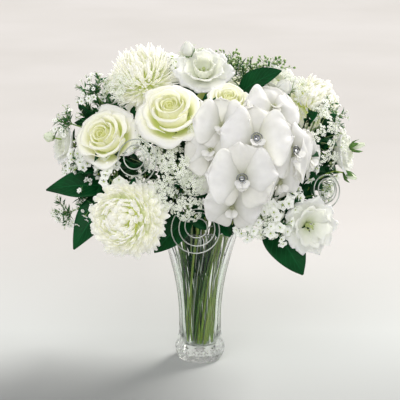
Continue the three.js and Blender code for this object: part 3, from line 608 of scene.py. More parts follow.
# Geometry Nodes trees
def new_tree(name, sockets):
    """A tree with a geometry input and output and the named inputs, and its Group Input node."""
    tree = bpy.data.node_groups.new(name, "GeometryNodeTree")
    tree.interface.new_socket("Geometry", in_out="INPUT", socket_type="NodeSocketGeometry")
    tree.interface.new_socket("Geometry", in_out="OUTPUT", socket_type="NodeSocketGeometry")
    for label, kind in sockets.items():
        tree.interface.new_socket(label, in_out="INPUT", socket_type=kind)
    return tree, tree.nodes.new("NodeGroupInput")


def stalk_tree():
    """Tubes that follow the lines of a mesh, each point with its own radius."""
    tree, given = new_tree("Stalks along lines", {"Sides": "NodeSocketInt", "Material": "NodeSocketMaterial"})
    curves = add_node(tree, "GeometryNodeMeshToCurve", inputs={"Mesh": given.outputs["Geometry"]})
    radius = add_node(tree, "GeometryNodeInputNamedAttribute", {"data_type": "FLOAT"}, {"Name": "radius"})
    ring = add_node(tree, "GeometryNodeCurvePrimitiveCircle", inputs={
        "Resolution": given.outputs["Sides"], "Radius": 1.0})
    tubes = add_node(tree, "GeometryNodeCurveToMesh", inputs={
        "Curve": curves, "Profile Curve": ring, "Scale": radius, "Fill Caps": True})
    smooth = add_node(tree, "GeometryNodeSetShadeSmooth", inputs={"Geometry": tubes})
    real = add_node(tree, "GeometryNodeRealizeInstances", inputs={"Geometry": smooth})
    dressed = add_node(tree, "GeometryNodeSetMaterial", inputs={
        "Geometry": real, "Material": given.outputs["Material"]})
    add_node(tree, "NodeGroupOutput", inputs={"Geometry": dressed})
    return tree


def scatter_tree():
    """A copy of one small piece on each point, aimed and turned by the point's own vectors."""
    tree, given = new_tree("Small pieces on points", {
        "Piece": "NodeSocketObject", "Tilt": "NodeSocketFloat", "Spin": "NodeSocketFloat",
        "Size Spread": "NodeSocketFloat", "Seed": "NodeSocketInt", "Material": "NodeSocketMaterial"})
    seed = given.outputs["Seed"]
    aim = add_node(tree, "GeometryNodeInputNamedAttribute", {"data_type": "FLOAT_VECTOR"}, {"Name": "aim"})
    top = add_node(tree, "GeometryNodeInputNamedAttribute", {"data_type": "FLOAT_VECTOR"}, {"Name": "top"})
    size = add_node(tree, "GeometryNodeInputNamedAttribute", {"data_type": "FLOAT"}, {"Name": "size"})
    sway = add_node(tree, "FunctionNodeRandomValue", {"data_type": "FLOAT_VECTOR"}, {
        "Min": (-1, -1, -1), "Max": (1, 1, 1), "Seed": seed})
    tilted = add_node(tree, "ShaderNodeVectorMath", {"operation": "SCALE"}, {
        "Vector": sway, "Scale": given.outputs["Tilt"]})
    leaning = add_node(tree, "ShaderNodeVectorMath", {"operation": "ADD"}, {
        "Vector": aim, "Vector_001": tilted})
    aimed = add_node(tree, "FunctionNodeAlignRotationToVector", {"axis": "Z"}, {"Vector": leaning})
    turned = add_node(tree, "FunctionNodeAlignRotationToVector", {"axis": "Y", "pivot_axis": "Z"}, {
        "Rotation": aimed, "Vector": top})
    chance = add_node(tree, "FunctionNodeRandomValue", {"data_type": "FLOAT"}, {"Seed": seed})
    spin = add_node(tree, "ShaderNodeMath", {"operation": "MULTIPLY"}, {
        "Value": chance, "Value_001": given.outputs["Spin"]})
    about = add_node(tree, "FunctionNodeAxisAngleToRotation", inputs={"Axis": (0, 0, 1), "Angle": spin})
    spun = add_node(tree, "FunctionNodeRotateRotation", {"rotation_space": "LOCAL"}, {
        "Rotation": turned, "Rotate By": about})
    growth = add_node(tree, "FunctionNodeRandomValue", {"data_type": "FLOAT"}, {
        "Min": -1.0, "Max": 1.0, "Seed": seed})
    spread = add_node(tree, "ShaderNodeMath", {"operation": "MULTIPLY_ADD"}, {
        "Value": growth, "Value_001": given.outputs["Size Spread"], "Value_002": 1.0})
    scale = add_node(tree, "ShaderNodeMath", {"operation": "MULTIPLY"}, {"Value": size, "Value_001": spread})
    form = add_node(tree, "GeometryNodeObjectInfo", inputs={"Object": given.outputs["Piece"]})
    copies = add_node(tree, "GeometryNodeInstanceOnPoints", inputs={
        "Points": given.outputs["Geometry"], "Instance": form.outputs["Geometry"], "Rotation": spun,
        "Scale": scale})
    real = add_node(tree, "GeometryNodeRealizeInstances", inputs={"Geometry": copies})
    dressed = add_node(tree, "GeometryNodeSetMaterial", inputs={
        "Geometry": real, "Material": given.outputs["Material"]})
    add_node(tree, "NodeGroupOutput", inputs={"Geometry": dressed})
    return tree


STALKS = stalk_tree()
SCATTER = scatter_tree()


def grown(tree, points, edges, attributes, values):
    """The mesh that the tree makes of these points and their attributes."""
    bed = bpy.data.meshes.new("seedbed")
    bed.from_pydata((np.asarray(points) * METRE).tolist(), edges, [])
    for key, numbers in attributes.items():
        numbers = np.asarray(numbers, np.float32)
        is_vector = numbers.ndim == 2
        layer = bed.attributes.new(key, "FLOAT_VECTOR" if is_vector else "FLOAT", "POINT")
        layer.data.foreach_set("vector" if is_vector else "value", numbers.ravel())
    holder = show(bed, "seedbed")
    modifier = holder.modifiers.new("grow", "NODES")
    modifier.node_group = tree
    for item in tree.interface.items_tree:
        if item.in_out == "INPUT" and item.name in values:
            modifier[item.identifier] = values[item.name]
    made = bpy.data.meshes.new_from_object(holder.evaluated_get(bpy.context.evaluated_depsgraph_get()))
    bpy.data.objects.remove(holder)
    bpy.data.meshes.remove(bed)
    return made


class Lines:
    """Lines for stalks: points with a radius and a shade, joined in order."""

    def __init__(self):
        self.points, self.edges, self.radii, self.shades = [], [], [], []

    def add(self, points, start_radius, end_radius=None, shade=0.5):
        first = len(self.points)
        count = len(points)
        self.points.extend(np.asarray(points).tolist())
        self.edges.extend((first + i, first + i + 1) for i in range(count - 1))
        last = start_radius if end_radius is None else end_radius
        self.radii.extend(np.linspace(start_radius, last, count))
        self.shades.extend([shade] * count)

    def mesh(self, material, sides=8):
        attributes = {"radius": np.array(self.radii) * METRE, "shade": self.shades}
        return grown(STALKS, self.points, self.edges, attributes, {"Sides": sides, "Material": material})


class Points:
    """Points for small pieces: each has where it aims, which way its top lies, its size and its shade."""

    def __init__(self):
        self.places, self.aims, self.tops, self.sizes, self.shades = [], [], [], [], []

    def add(self, place, aim, top, size, shade):
        self.places.append(np.asarray(place, float))
        self.aims.append(unit(aim))
        self.tops.append(np.asarray(top, float))
        self.sizes.append(size)
        self.shades.append(shade)

    def mesh(self, form, material, seed, tilt=0.0, spin=0.0, spread=0.0):
        attributes = {"aim": self.aims, "top": self.tops, "size": self.sizes, "shade": self.shades}
        return grown(SCATTER, self.places, [], attributes, {
            "Piece": form, "Tilt": tilt, "Spin": spin, "Size Spread": spread, "Seed": seed,
            "Material": material})


templates = []


def template(name, form, material, smooth=True):
    """A small piece that is only copied. It is removed at the end."""
    made = show(form.mesh(name, material, smooth), name)
    made.hide_render = True
    templates.append(made)
    return made


# The routes of the stems, as in the CAD source
def seat_of(kind, bloom):
    """Where a bloom is rooted, its facing, its scale and the place where its stem ends."""
    middle, face, radius = bloom[:3]
    facing = direction(*face)
    base = np.asarray(middle, float) - ROOT_DEPTH[kind] * radius * facing
    scale = radius / NOMINAL_RADIUS[kind]
    goal = base - (GAP + 0.6 * CALYX[kind][1] * scale) * facing
    return base, facing, scale, goal


def coil_points(scroll, steps_per_turn):
    """A coil bent by hand: it narrows, its loops swing in and out, and its middle drifts up and forward."""
    middle, face, outer, inner, turns, start = scroll[:6]
    count = round(turns * steps_per_turn)
    share = np.arange(count + 1) / count
    angle = math.radians(start) + 2 * math.pi * turns * share
    swing = 1 + 0.10 * share * np.sin(0.62 * (angle - angle[0]))
    radius = (outer + (inner - outer) * share) * swing
    drift = 0.16 * outer * share * math.sin(math.radians(70))
    local = np.stack([radius * np.cos(angle) + 0.3 * drift, radius * np.sin(angle) + drift, 5 * share], 1)
    return placed(local, middle, direction(*face))


def all_stems():
    """Every stem in the vase as (name, kind, goal, facing, radius)."""
    stems = []
    for kind, blooms in (("rose", ROSES), ("mum", MUMS)):
        for name, bloom in blooms.items():
            _, facing, _, goal = seat_of(kind, bloom)
            stems.append((name, kind, goal, facing, STEM_RADIUS[kind]))
    for name, (kind, fork, face, _) in BRANCHED.items():
        stems.append((name, kind, np.array(fork, float), direction(*face), STEM_RADIUS[kind]))
    for name, (middle, face, reach, _, _) in UMBELS.items():
        facing = direction(*face)
        stems.append((name, "umbel", np.array(middle) - 0.85 * reach * facing, facing, STEM_RADIUS["umbel"]))
    for name, (end, _) in TWIGS.items():
        end = np.array(end, float)
        stems.append((name, "twig", end, unit(end - [0, 0, LEAN_HEIGHT]), STEM_RADIUS["twig"]))
    for name, scroll in SCROLLS.items():
        stems.append((name, "scroll", np.array(scroll[6][0], float), direction(*scroll[1]), WIRE_RADIUS))
    return stems


PUSH_ROUNDS = 800


def settled_places(stems):
    """Where each stem stands in the narrowest part of the bunch: pushed apart until all fit side by side."""
    narrowest = BUNCH[0][1]
    twist = math.radians(BUNCH[0][2] - BUNCH[-1][2])
    widest_lean = math.atan2(200, 20)
    places = []
    for _, _, goal, _, radius in stems:
        lean = math.atan2(math.hypot(goal[0], goal[1]), goal[2] - LEAN_HEIGHT) / widest_lean
        bearing = math.atan2(goal[1], goal[0]) + twist
        reach = min(lean, 1) * (narrowest - radius)
        places.append([reach * math.cos(bearing), reach * math.sin(bearing)])
    radii = [stem[4] for stem in stems]
    for _ in range(PUSH_ROUNDS):
        for i in range(len(places)):
            for j in range(i + 1, len(places)):
                dx, dy = places[j][0] - places[i][0], places[j][1] - places[i][1]
                apart = math.hypot(dx, dy)
                lack = radii[i] + radii[j] + STEM_SPACE - apart
                if lack <= 0:
                    continue
                push = lack / 2 / apart
                places[i][0] -= dx * push
                places[i][1] -= dy * push
                places[j][0] += dx * push
                places[j][1] += dy * push
            reach = math.hypot(*places[i])
            most = narrowest - radii[i]
            if reach > most:
                places[i] = [places[i][0] * most / reach, places[i][1] * most / reach]
    return places


def route_of(place, name, goal, facing):
    """A stem's line in two smooth parts: through the vase, and from the rim to its goal."""
    in_vase = []
    for height, radius, turn in BUNCH:
        angle = math.radians(turn - BUNCH[0][2])
        x, y = np.array(place) * radius / BUNCH[0][1]
        in_vase.append([
            x * math.cos(angle) - y * math.sin(angle), x * math.sin(angle) + y * math.cos(angle), height])
    in_vase = np.array(in_vase)
    if name in SCROLLS:
        scroll = SCROLLS[name]
        way = np.vstack([in_vase[-2:], scroll[6], coil_points(scroll, 8)[:2]])
        coil = coil_points(scroll, 32)
        return smooth_line(in_vase, 5), np.vstack([smooth_line(way, 6)[6:-6], coil])
    rim = in_vase[-1]
    outside = arc(rim, unit(rim - in_vase[-2]), goal, facing, STEM_PULLS, 16)
    return smooth_line(in_vase, 5), outside


STEMS = all_stems()
ROUTES = {}
for (stem_name, stem_kind, stem_goal, stem_facing, _), stem_place in zip(STEMS, settled_places(STEMS)):
    ROUTES[stem_name] = (stem_kind, *route_of(stem_place, stem_name, stem_goal, stem_facing))


def stem_line(name):
    """A stem's whole line, from the bottom of the vase to its end."""
    _, in_vase, outside = ROUTES[name]
    return np.vstack([in_vase, outside[1:]])


# The vase and its water
def panel_depth(angle, height):
    """How deep the cut is at this angle, from 0 on a ridge to 1: lobes round the foot, scoops above it."""
    across = np.abs(((angle * VASE_PANELS / (2 * math.pi)) + 0.5) % 1 - 0.5) * 2
    lobe = across**2.4
    scoop = 1 - (1 - across) ** 2
    return lobe + (scoop - lobe) * ease(height, 24, 36)


CROSS_PITCH = 8.9  # from one cross to the next round the foot
GROOVE_HALF_WIDTH = 1.2
# The rows of crosses: (height, half their size, depth)
CROSS_ROWS = ((7, 3.6, 1.9), (18, 2.6, 1.2))


def cross_cuts(angle, height, middle, spread):
    """Small crosses cut in a row round the glass at one height, two to a panel, from 0 to 1."""
    spacing = 2 * math.pi / (2 * VASE_PANELS)
    side = ((angle / spacing + 0.5) % 1 - 0.5) * CROSS_PITCH
    up = height - middle
    groove = np.minimum(np.abs(side - up), np.abs(side + up))
    cut = np.clip(1 - groove / GROOVE_HALF_WIDTH, 0, 1)
    return cut * (np.abs(side) < spread) * (np.abs(up) < spread + 1)


def vase_form():
    """The glass from the middle of its foot up the outside, over the lip and down the inside."""
    segments = VASE_PANELS * 24
    angle = np.arange(segments) * 2 * math.pi / segments
    outer = smooth_line(VASE_OUTER, 14)
    lip = [(59.3, 196.1, 0), (58.3, 196.6, 0), (57.3, 196.2, 0)]
    inner = [(r, h, 0) for r, h in smooth_line(VASE_INNER, 6)]
    well = [(14, 20.2, 0), (7, 19.8, 0)]
    foot = [(8, 2.2, 0), (18, 1.6, 0), (26, 0.4, 0)]
    rings = np.vstack([foot, outer, lip, inner, well])
    depth = CUT_DEPTH * panel_depth(angle[None, :], rings[:, 1][:, None]) * rings[:, 2][:, None]
    cut = rings[:, 2][:, None] > 0
    for middle, spread, deep in CROSS_ROWS:
        depth = depth + deep * cross_cuts(angle[None, :], rings[:, 1][:, None], middle, spread) * cut
    radius = rings[:, 0][:, None] - depth
    height = np.broadcast_to(rings[:, 1][:, None], radius.shape)
    points = np.stack([radius * np.cos(angle), radius * np.sin(angle), height], -1)
    return lathe_form(points, 2.2, 19.8)


def lathe_form(points, low, high):
    """A closed form round the Z axis from rings of points, with a pole at each end."""
    rings, segments = points.shape[:2]
    index = np.arange(rings * segments).reshape(rings, segments)
    nearer, farther = index[:-1], index[1:]
    quads = np.stack([nearer, np.roll(nearer, -1, 1), np.roll(farther, -1, 1), farther], -1).reshape(-1, 4)
    poles = [rings * segments, rings * segments + 1]
    around = np.roll(index, -1, 1)
    caps = [np.stack([np.full(segments, poles[0]), around[0], index[0]], 1),
            np.stack([np.full(segments, poles[1]), index[-1], around[-1]], 1)]
    form = Form()
    form.add(np.vstack([points.reshape(-1, 3), [[0, 0, low], [0, 0, high]]]), quads)
    form.faces.extend(np.vstack(caps).tolist())
    return form


def ring_form(rings, sides, low, high):
    """A closed turned form: rings hold [radius, height], and it ends at low and high on the axis."""
    rings = np.array(rings, float)
    angle = np.arange(sides) * 2 * math.pi / sides
    height = np.broadcast_to(rings[:, 1:], (len(rings), sides))
    points = np.stack([rings[:, :1] * np.cos(angle), rings[:, :1] * np.sin(angle), height], -1)
    return lathe_form(points, low, high)


def water_form():
    """The water fills the bowl and climbs a little where it meets the glass, into which it reaches a hair."""
    wet = [(r + 0.05, h) for r, h in smooth_line(VASE_INNER, 6)[::-1] if h <= WATER_HEIGHT - 2]
    surface = WATER_HEIGHT - 0.4
    edge = [(39.6, WATER_HEIGHT + 0.6), (38.6, WATER_HEIGHT), (36, surface), (18, surface)]
    return ring_form([(7, 19.75), (14, 20.15), *wet, *edge], 96, 19.75, surface)


piece("vase_glass", [vase_form().mesh("vase_glass", GLASS)], "glass", "vase")
piece("vase_water", [water_form().mesh("vase_water", WATER)], "water", "water")


# Petals
CURL_START = 0.8  # the share of a cupped petal at which its lip begins to roll
PETAL_ROWS = 14


def cup_petal(form, rng, rib, turn, half_angle, thick, rounding, lip, shade, spiral, curl=2.3, ruffle=0.0,
              waves=3.0, point=0.0, narrow=0.35, columns=12):
    """A petal that wraps round the axis. rib holds [distance from the axis, height] up to its rolled lip."""
    spine = smooth_line(rib, 8)
    along = np.linspace(0, 1, len(spine))
    rise, out = spine[-1][1] - spine[-3][1], spine[-1][0] - spine[-3][0]
    slope = math.atan2(out, rise)
    middle = math.radians(turn)
    phase = rng.uniform(0, 2 * math.pi, 2)

    def place(u, v):
        reach = u * (1 - rounding * np.abs(v) ** 2.6)
        radius = np.interp(reach / CURL_START, along, spine[:, 0])
        height = np.interp(reach / CURL_START, along, spine[:, 1])
        roll = np.clip((reach - CURL_START) / (1 - CURL_START), 0, 1) * curl
        size = lip * (0.75 + 0.5 * np.abs(v))
        back, up = size * (1 - np.cos(roll)), size * np.sin(roll)
        radius = radius + back * math.cos(slope) + up * math.sin(slope)
        height = height + up * math.cos(slope) - back * math.sin(slope)
        width = narrow + (1 - narrow) * np.sin(np.clip(1.3 * u, 0, 1) * math.pi / 2)
        radius = radius + spiral * v * (0.3 + 0.7 * u)
        height = height + point * np.exp(-((v / 0.16) ** 2)) * u**6
        wave = np.sin(waves * v * math.pi + phase[0]) + 0.5 * np.sin(2.3 * waves * v * math.pi + phase[1])
        radius = radius + ruffle * wave * u**3
        height = height + 0.5 * ruffle * wave * u**3
        angle = middle + v * math.radians(half_angle) * width
        return np.stack([radius * np.cos(angle), radius * np.sin(angle), height], -1)

    form.add_sheet(place, PETAL_ROWS, columns, thick, shade)


def rose_form(loose, seed):
    """A garden rose: a tight spiral heart, cupped petals with rolled lips and a loose guard ring."""
    rng = np.random.default_rng(seed)
    form = Form()
    core_turn = rng.uniform(0, 360)
    # Each ring: [count, rim radius, rim height, root radius, belly radius, half angle, lip, spiral, shade]
    rings = [
        (1, 1.8, 37.0, 0.6, 3.0, 165, 0.3, 1.3, 1.0),
        (2, 4.8, 38.6, 1.2, 6.6, 104, 0.7, 1.5, 0.9),
        (3, 8.8, 39.4, 2.0, 10.8, 76, 1.4, 1.7, 0.7),
        (3, 14.0, 38.8, 3.0, 16.0, 72, 2.3, 2.0, 0.45),
        (3, 20.0 + 1.5 * loose, 35.4, 4.0, 21.0, 70, 3.6, 2.2, 0.28),
        (4, 26.0 + 3.5 * loose, 29.0 - loose, 5.0, 25.8, 60, 5.0, 2.4, 0.12),
        (4, 31.5 + 5.5 * loose, 19.0 - 4 * loose, 6.0, 29.5, 58, 5.8, 2.4, 0.0),
    ]
    for k, (count, rim, top, root, belly, half_angle, lip, spiral, shade) in enumerate(rings):
        for i in range(count):
            turn = core_turn + 47 * k + 360 * i / count + rng.uniform(-14, 14)
            low = 3 + 1.1 * (len(rings) - k)
            wobble = rng.uniform(-0.4, 0.4) * (1 + k)
            wide = rim * rng.uniform(0.94, 1.06)
            rib = [(root, low), (belly * 0.78, low + 0.22 * (top - low)),
                   (belly, low + 0.55 * (top - low)), (wide, top + wobble)]
            cup_petal(form, rng, rib, turn, half_angle * rng.uniform(0.88, 1.1), 0.6,
                      rounding=0.14 + 0.025 * k, lip=lip * rng.uniform(0.6, 1.4), spiral=spiral,
                      ruffle=0.22 * k, waves=1.3, point=0.4 * k, shade=shade * rng.uniform(0.8, 1.0))
    return form


def lisianthus_form(loose, seed, double):
    """A lisianthus: two or three rings of wide, thin, ruffled petals round a green pistil."""
    rng = np.random.default_rng(seed)
    form = Form()
    first = rng.uniform(0, 360)
    # Each ring: [count, rim radius, rim height, root radius, belly radius, half angle, lip, ruffle, shade]
    rings = [
        (3, 10 + 2 * loose, 29, 2.5, 12, 68, 1.2, 1.2, 0.5),
        (4, 19 + 4 * loose, 29 - 3 * loose, 3, 16.5, 62, 2.4, 2.1, 0.25),
        (5, 26 + 7 * loose, 27 - 8 * loose, 3, 20.5, 56, 3.4, 2.7, 0.0),
    ]
    for k, (count, rim, top, root, belly, half_angle, lip, ruffle, shade) in enumerate(rings):
        if k == 0 and not double:
            continue
        for i in range(count):
            turn = first + 41 * k + 360 * i / count + rng.uniform(-8, 8)
            low = 4 + 1.5 * (len(rings) - k)
            rib = [(root, low), (belly * 0.62, low + 4), (belly, low + 0.5 * (top - low)),
                   (rim, top + rng.uniform(-1.5, 1.5))]
            cup_petal(form, rng, rib, turn, half_angle, 0.5, rounding=0.2, lip=lip, curl=1.9, spiral=1.2,
                      ruffle=ruffle, waves=2.9, narrow=0.25, shade=shade + rng.uniform(0, 0.15), columns=20)
    pistil = [(2.2, 3), (3.2, 8), (2.4, 13), (1.2, 17), (1.3, 20), (2.6, 22), (1.6, 24)]
    form.join(ring_form(pistil, 12, 3, 24.4))
    anther = ring_form([(0.6, 0), (1.1, 1.2), (0.9, 3.2)], 6, -0.4, 4)
    for k in range(5):
        foot = 5.5 * spoke(math.radians(first) + 2 * math.pi * k / 5) + [0, 0, 15.5]
        form.join(anther, 0.6, np.vstack(anther.points) + foot)
    return form


def flat_petal(form, rng, turn, length, half_width, tilt, cup, base_height, ruffle, shade, columns,
               rows=PETAL_ROWS, belly=0.55, fold=0.0, droop=0.0):
    """A petal that spreads from the axis: belly is where it is widest, and cup lifts its sides."""
    along = spoke(math.radians(turn))
    up = np.array([0, 0, 1.0])
    side = np.cross(up, along)
    lift = math.tan(math.radians(tilt))
    broad, fine, _ = rng.uniform(0, 2 * math.pi, 3)

    def place(u, v):
        power = math.log(0.5) / math.log(belly)
        outline = np.sin(math.pi * np.clip(u, 0.0, 1.0) ** power) ** 0.62
        width = half_width * np.maximum(outline, 0.02 + 0.1 * (1 - u))
        rounded = u * (1 - 0.10 * v**2 * u)
        reach = 2.0 + length * rounded
        wave = np.sin(3.1 * v + broad + 2.2 * u) + 0.6 * np.sin(6.7 * v + fine - 3.0 * u)
        height = base_height + lift * length * u - droop * length * u**2
        height = height + cup * v**2 * np.sin(math.pi * np.clip(u, 0, 1) ** 0.7)
        height = height + fold * np.abs(v) * u * (1 - u) * 4
        height = height + ruffle * wave * u**1.5
        return reach[..., None] * along + (v * width)[..., None] * side + height[..., None] * up

    form.add_sheet(place, rows, columns, 0.6, shade)


def orchid_form(seed):
    """A moth orchid: three sepals behind, two broad round petals before them and a lip round the column."""
    rng = np.random.default_rng(seed)
    form = Form()
    for turn in (90, 208, 328):
        flat_petal(form, rng, turn + rng.uniform(-8, 8), 45, 28, rng.uniform(4, 20), -6.0,
                   base_height=3.0, belly=0.6, ruffle=3.2, fold=1.4, droop=0.4, shade=0.6, columns=20)
    for turn in (8, 172):
        flat_petal(form, rng, turn + rng.uniform(-12, 12), 46, 37, rng.uniform(18, 38), -12.0,
                   base_height=6.0, belly=0.56, ruffle=5.0, fold=3.2, droop=rng.uniform(0.5, 0.8), shade=0.15,
                   rows=20, columns=28)
    for turn, length, width in ((235, 11, 6), (305, 11, 6)):
        flat_petal(form, rng, turn, length, width, 50, 3.0, base_height=8, ruffle=0.5, shade=0.2,
                   rows=8, columns=8)
    flat_petal(form, rng, 270, 16, 7, 20, 3.0, base_height=8, ruffle=0.5, shade=0.3, rows=8, columns=8)
    # The column that carries the anther cap, with a hollow for the pin
    column = [(2.6, 0), (4.5, 2), (4.0, 6), (3.6, 10.4), (3.0, COLUMN_TOP), (1.3, COLUMN_TOP), (1.25, 4.6),
              (0.6, 4.4)]
    form.join(ring_form(column, 16, 0, 4.4), 0.4)
    return form


def strap_template(name, bend, width):
    """A chrysanthemum ray of length 1 along Z that bends towards +Y, channelled along its middle."""
    form = Form()

    def place(u, v):
        angle = bend * u
        reach = np.sin(angle) / bend
        sideways = (1 - np.cos(angle)) / bend
        swell = np.sin(math.pi * np.clip(u, 0, 1) ** 1.3) ** 0.8
        outline = width * (0.5 + 0.7 * swell) * np.where(u > 0.97, 0.6, 1)
        channel = 0.45 * outline * v**2
        return np.stack([v * outline, sideways + channel, reach], -1)

    form.add_sheet(place, 7, 2, 0.010, 0.0)
    return template(name, form, MUM_PETAL)


# Rays from the heart of a mum to its base: (bend in radians, half width), broad straps and narrow quills
STRAPS = [strap_template(f"strap_{i}", bend, width) for i, (bend, width) in enumerate(
    [(1.9, 0.13), (1.6, 0.14), (1.3, 0.15), (1.0, 0.14), (0.6, 0.12)])]
QUILLS = [strap_template(f"quill_{i}", bend, width) for i, (bend, width) in enumerate(
    [(1.3, 0.05), (1.1, 0.05), (0.9, 0.05), (0.6, 0.045), (0.2, 0.04)])]
RAY_BACKWARD = (0.5, 0.42, 0.36, 0.3, 0.2)  # how far the rays of each kind lean away from the heart
RAY_COVER = 1.62  # how much of the ball's height of 2 carries rays


def mum_meshes(name, bloom, seed, straps, count, depth, length_share, tint):
    """A football chrysanthemum: rays on a ball, incurved over the heart and looser round the base."""
    base, facing, scale, _ = seat_of("mum", bloom)
    rng = np.random.default_rng(seed)
    radius = NOMINAL_RADIUS["mum"]
    middle = np.array([0, 0, ROOT_DEPTH["mum"] * radius])
    axes = axes_of(facing)
    beds = [Points() for _ in straps]
    last = len(straps) - 1
    for i in range(count):
        rise = 1 - RAY_COVER * (i + 0.5) / count
        level = math.sqrt(1 - rise * rise)
        angle = i * GOLDEN_ANGLE
        out = np.array([level * math.cos(angle), level * math.sin(angle), rise])
        toward = np.array([0, 0, 1.0]) - out * rise
        if level < 0.12:
            # No one way leads to the heart from right over it, so these rays lean by turns
            toward = spoke(3 * angle) + [0, 0, 0.1]
        kind = min(max(int((1 - rise) / RAY_COVER * len(straps) + rng.uniform(-0.4, 0.4)), 0), last)
        length = radius * length_share * rng.uniform(0.86, 1.1) * (1.06 if kind == last else 1.0)
        aim = unit(out - RAY_BACKWARD[kind] * unit(toward) + rng.normal(0, 0.18, 3))
        root = middle + out * radius * depth * rng.uniform(0.85, 1.15)
        shade = np.clip(tint + 1.05 - 1.5 * (1 - rise) + rng.uniform(-0.1, 0.3), 0, 1)
        top = unit(toward) @ axes
        beds[kind].add(placed(root, base, facing, scale), aim @ axes, top, length * scale, shade)
    meshes = [
        bed.mesh(strap, MUM_PETAL, seed + i, tilt=0.16, spread=0.14)
        for i, (bed, strap) in enumerate(zip(beds, straps))]
    ball = radius * depth * 1.15

    def heart_place(u, v):
        level = ball * np.sin(math.pi * u) + 0.5
        height = middle[2] - ball * 0.86 * np.cos(math.pi * u)
        return np.stack([level * np.cos(math.pi * v), level * np.sin(math.pi * v), height], -1)

    heart = Form()
    heart.add_sheet(heart_place, 10, 20, 0.5, 1.0)
    meshes.append(heart.placed(base, facing, scale).mesh(name, MUM_PETAL))
    return meshes


def jewel_meshes(name, bloom):
    """A faceted stone in a round setting on its pin, with two turns of fine wire round it."""
    base, facing, scale, _ = seat_of("orchid", bloom)
    top = COLUMN_TOP + GAP
    setting = [(0.7, top - 6), (0.7, top), (4.4, top), (4.4, top + 1.6), (3.6, top + 2.0), (3.2, top + 0.9)]
    stone = [(3.3, top + 0.8), (3.4, top + 1.4), (2.0, top + 2.8)]
    turns = np.linspace(0, 2 * math.pi * 1.9, 60)
    loop = np.stack([6.9 * np.cos(turns), 6.6 * np.sin(turns), top + 0.4 + 0.12 * turns], 1)
    ring = Lines()
    ring.add(placed(loop, base, facing, scale), 0.7)
    return [
        ring_form(setting, 16, top - 6, top + 0.9).placed(base, facing, scale).mesh(name, SETTING),
        ring_form(stone, 16, top + 0.8, top + 3.0).placed(base, facing, scale).mesh(name, STONE, False),
        ring.mesh(SETTING, 6),
    ]


for number, (name, bloom) in enumerate(ROSES.items()):
    seat = seat_of("rose", bloom)
    made = rose_form(bloom[3], SEEDS["rose"] + number).placed(*seat[:3]).mesh(name, ROSE_PETAL)
    piece(name + "_petals", [made], "rose_petal", name + "_bloom")

# For each mum: its rays, how many, how deep they root and how long they are in its radius, and extra green
MUM_LOOKS = {
    "mum_low_left": (STRAPS, 560, 0.5, 0.52, 0.28), "mum_top_left": (QUILLS, 760, 0.35, 0.68, 0.8),
    "mum_right": (STRAPS, 480, 0.5, 0.52, 0.95), "mum_back": (STRAPS, 520, 0.5, 0.52, 0.2),
}
for number, (name, bloom) in enumerate(MUMS.items()):
    made = mum_meshes(name, bloom, SEEDS["mum"] + 10 * number, *MUM_LOOKS[name])
    piece(name + "_petals", made, "mum_petal", name + "_bloom")

for _, (kind, _, _, blooms) in BRANCHED.items():
    for number, (name, bloom) in enumerate(blooms.items()):
        seat = seat_of(kind, bloom)
        if kind == "orchid":
            made = orchid_form(SEEDS["orchid"] + number).placed(*seat[:3]).mesh(name, ORCHID_PETAL)
        else:
            double = name != "lisianthus_low_right"
            made = lisianthus_form(bloom[3], SEEDS["lisianthus"] + sum(map(ord, name)), double)
            made = made.placed(*seat[:3]).mesh(name, LISIANTHUS_PETAL)
        piece(name + "_petals", [made], "white_petal", name + "_bloom")
        if name in JEWELLED:
            piece(name + "_stone", jewel_meshes(name, bloom), "jewel", name + "_jewel")


# Leaves
def leaf_place(root, tip, up, half_width, wave, arch=0.14, fold=0.22):
    """The sheet of a leaf from its root to its tip, arched towards up and folded along its rib."""
    root, tip = np.asarray(root, float), np.asarray(tip, float)
    along = unit(tip - root)
    face = unit(np.asarray(up, float) - along * np.dot(up, along))
    side = np.cross(along, face)
    length = np.linalg.norm(tip - root)
    crest = (root + tip) / 2 + face * arch * length

    def place(u, v):
        width = half_width * np.maximum(np.sin(math.pi * u**0.8), 0.02) ** 0.8
        near, mid, far = (1 - u)[..., None] ** 2, 2 * (u * (1 - u))[..., None], u[..., None] ** 2
        spine = near * root + mid * crest + far * tip
        ripple = wave * half_width * np.sin(11 * u + 1.5 * np.sign(v)) * v**2
        lift = fold * np.abs(v) * width + ripple
        return spine + (v * width)[..., None] * side + lift[..., None] * face

    return place


def leaf_template(name, half_width, arch, fold, material, rows=6, columns=2):
    """A leaf of length 1 along Z whose face looks towards +Y."""
    form = Form()
    place = leaf_place((0, 0, 0), (0, 0, 1), (0, 1, 0), half_width, 0.12, arch, fold)
    form.add_sheet(place, rows, columns, 0.014)
    return template(name, form, material)


BROAD_LEAF = leaf_template("broad_leaf", 0.30, 0.14, 0.25, SOFT_LEAF)
NEEDLE_LEAF = leaf_template("needle_leaf", 0.09, 0.10, 0.3, NEEDLE, rows=3)
NECK_LEAF = leaf_template("neck_leaf", 0.14, 0.06, 0.3, SALAL, rows=5, columns=4)
SEPAL = leaf_template("sepal", 0.22, 0.16, 0.2, SOFT_LEAF, rows=4)

stalk_rng = np.random.default_rng(SEEDS["stalks"])
for name, (_, leaves) in TWIGS.items():
    line = stem_line(name)
    twig = Lines()
    twig.add(line, STEM_RADIUS["twig"], 1.5, stalk_rng.uniform(0.2, 0.8))
    root = line[-1] - 3 * unit(line[-1] - [0, 0, LEAN_HEIGHT])
    blades = Form()
    for tip, up, half_width in leaves:
        blades.add_sheet(leaf_place(root, tip, up, half_width, 0.05), 24, 12, 0.9)
    piece(name + "_twig", [blades.mesh(name, SALAL), twig.mesh(STEM)], "leaf", name)


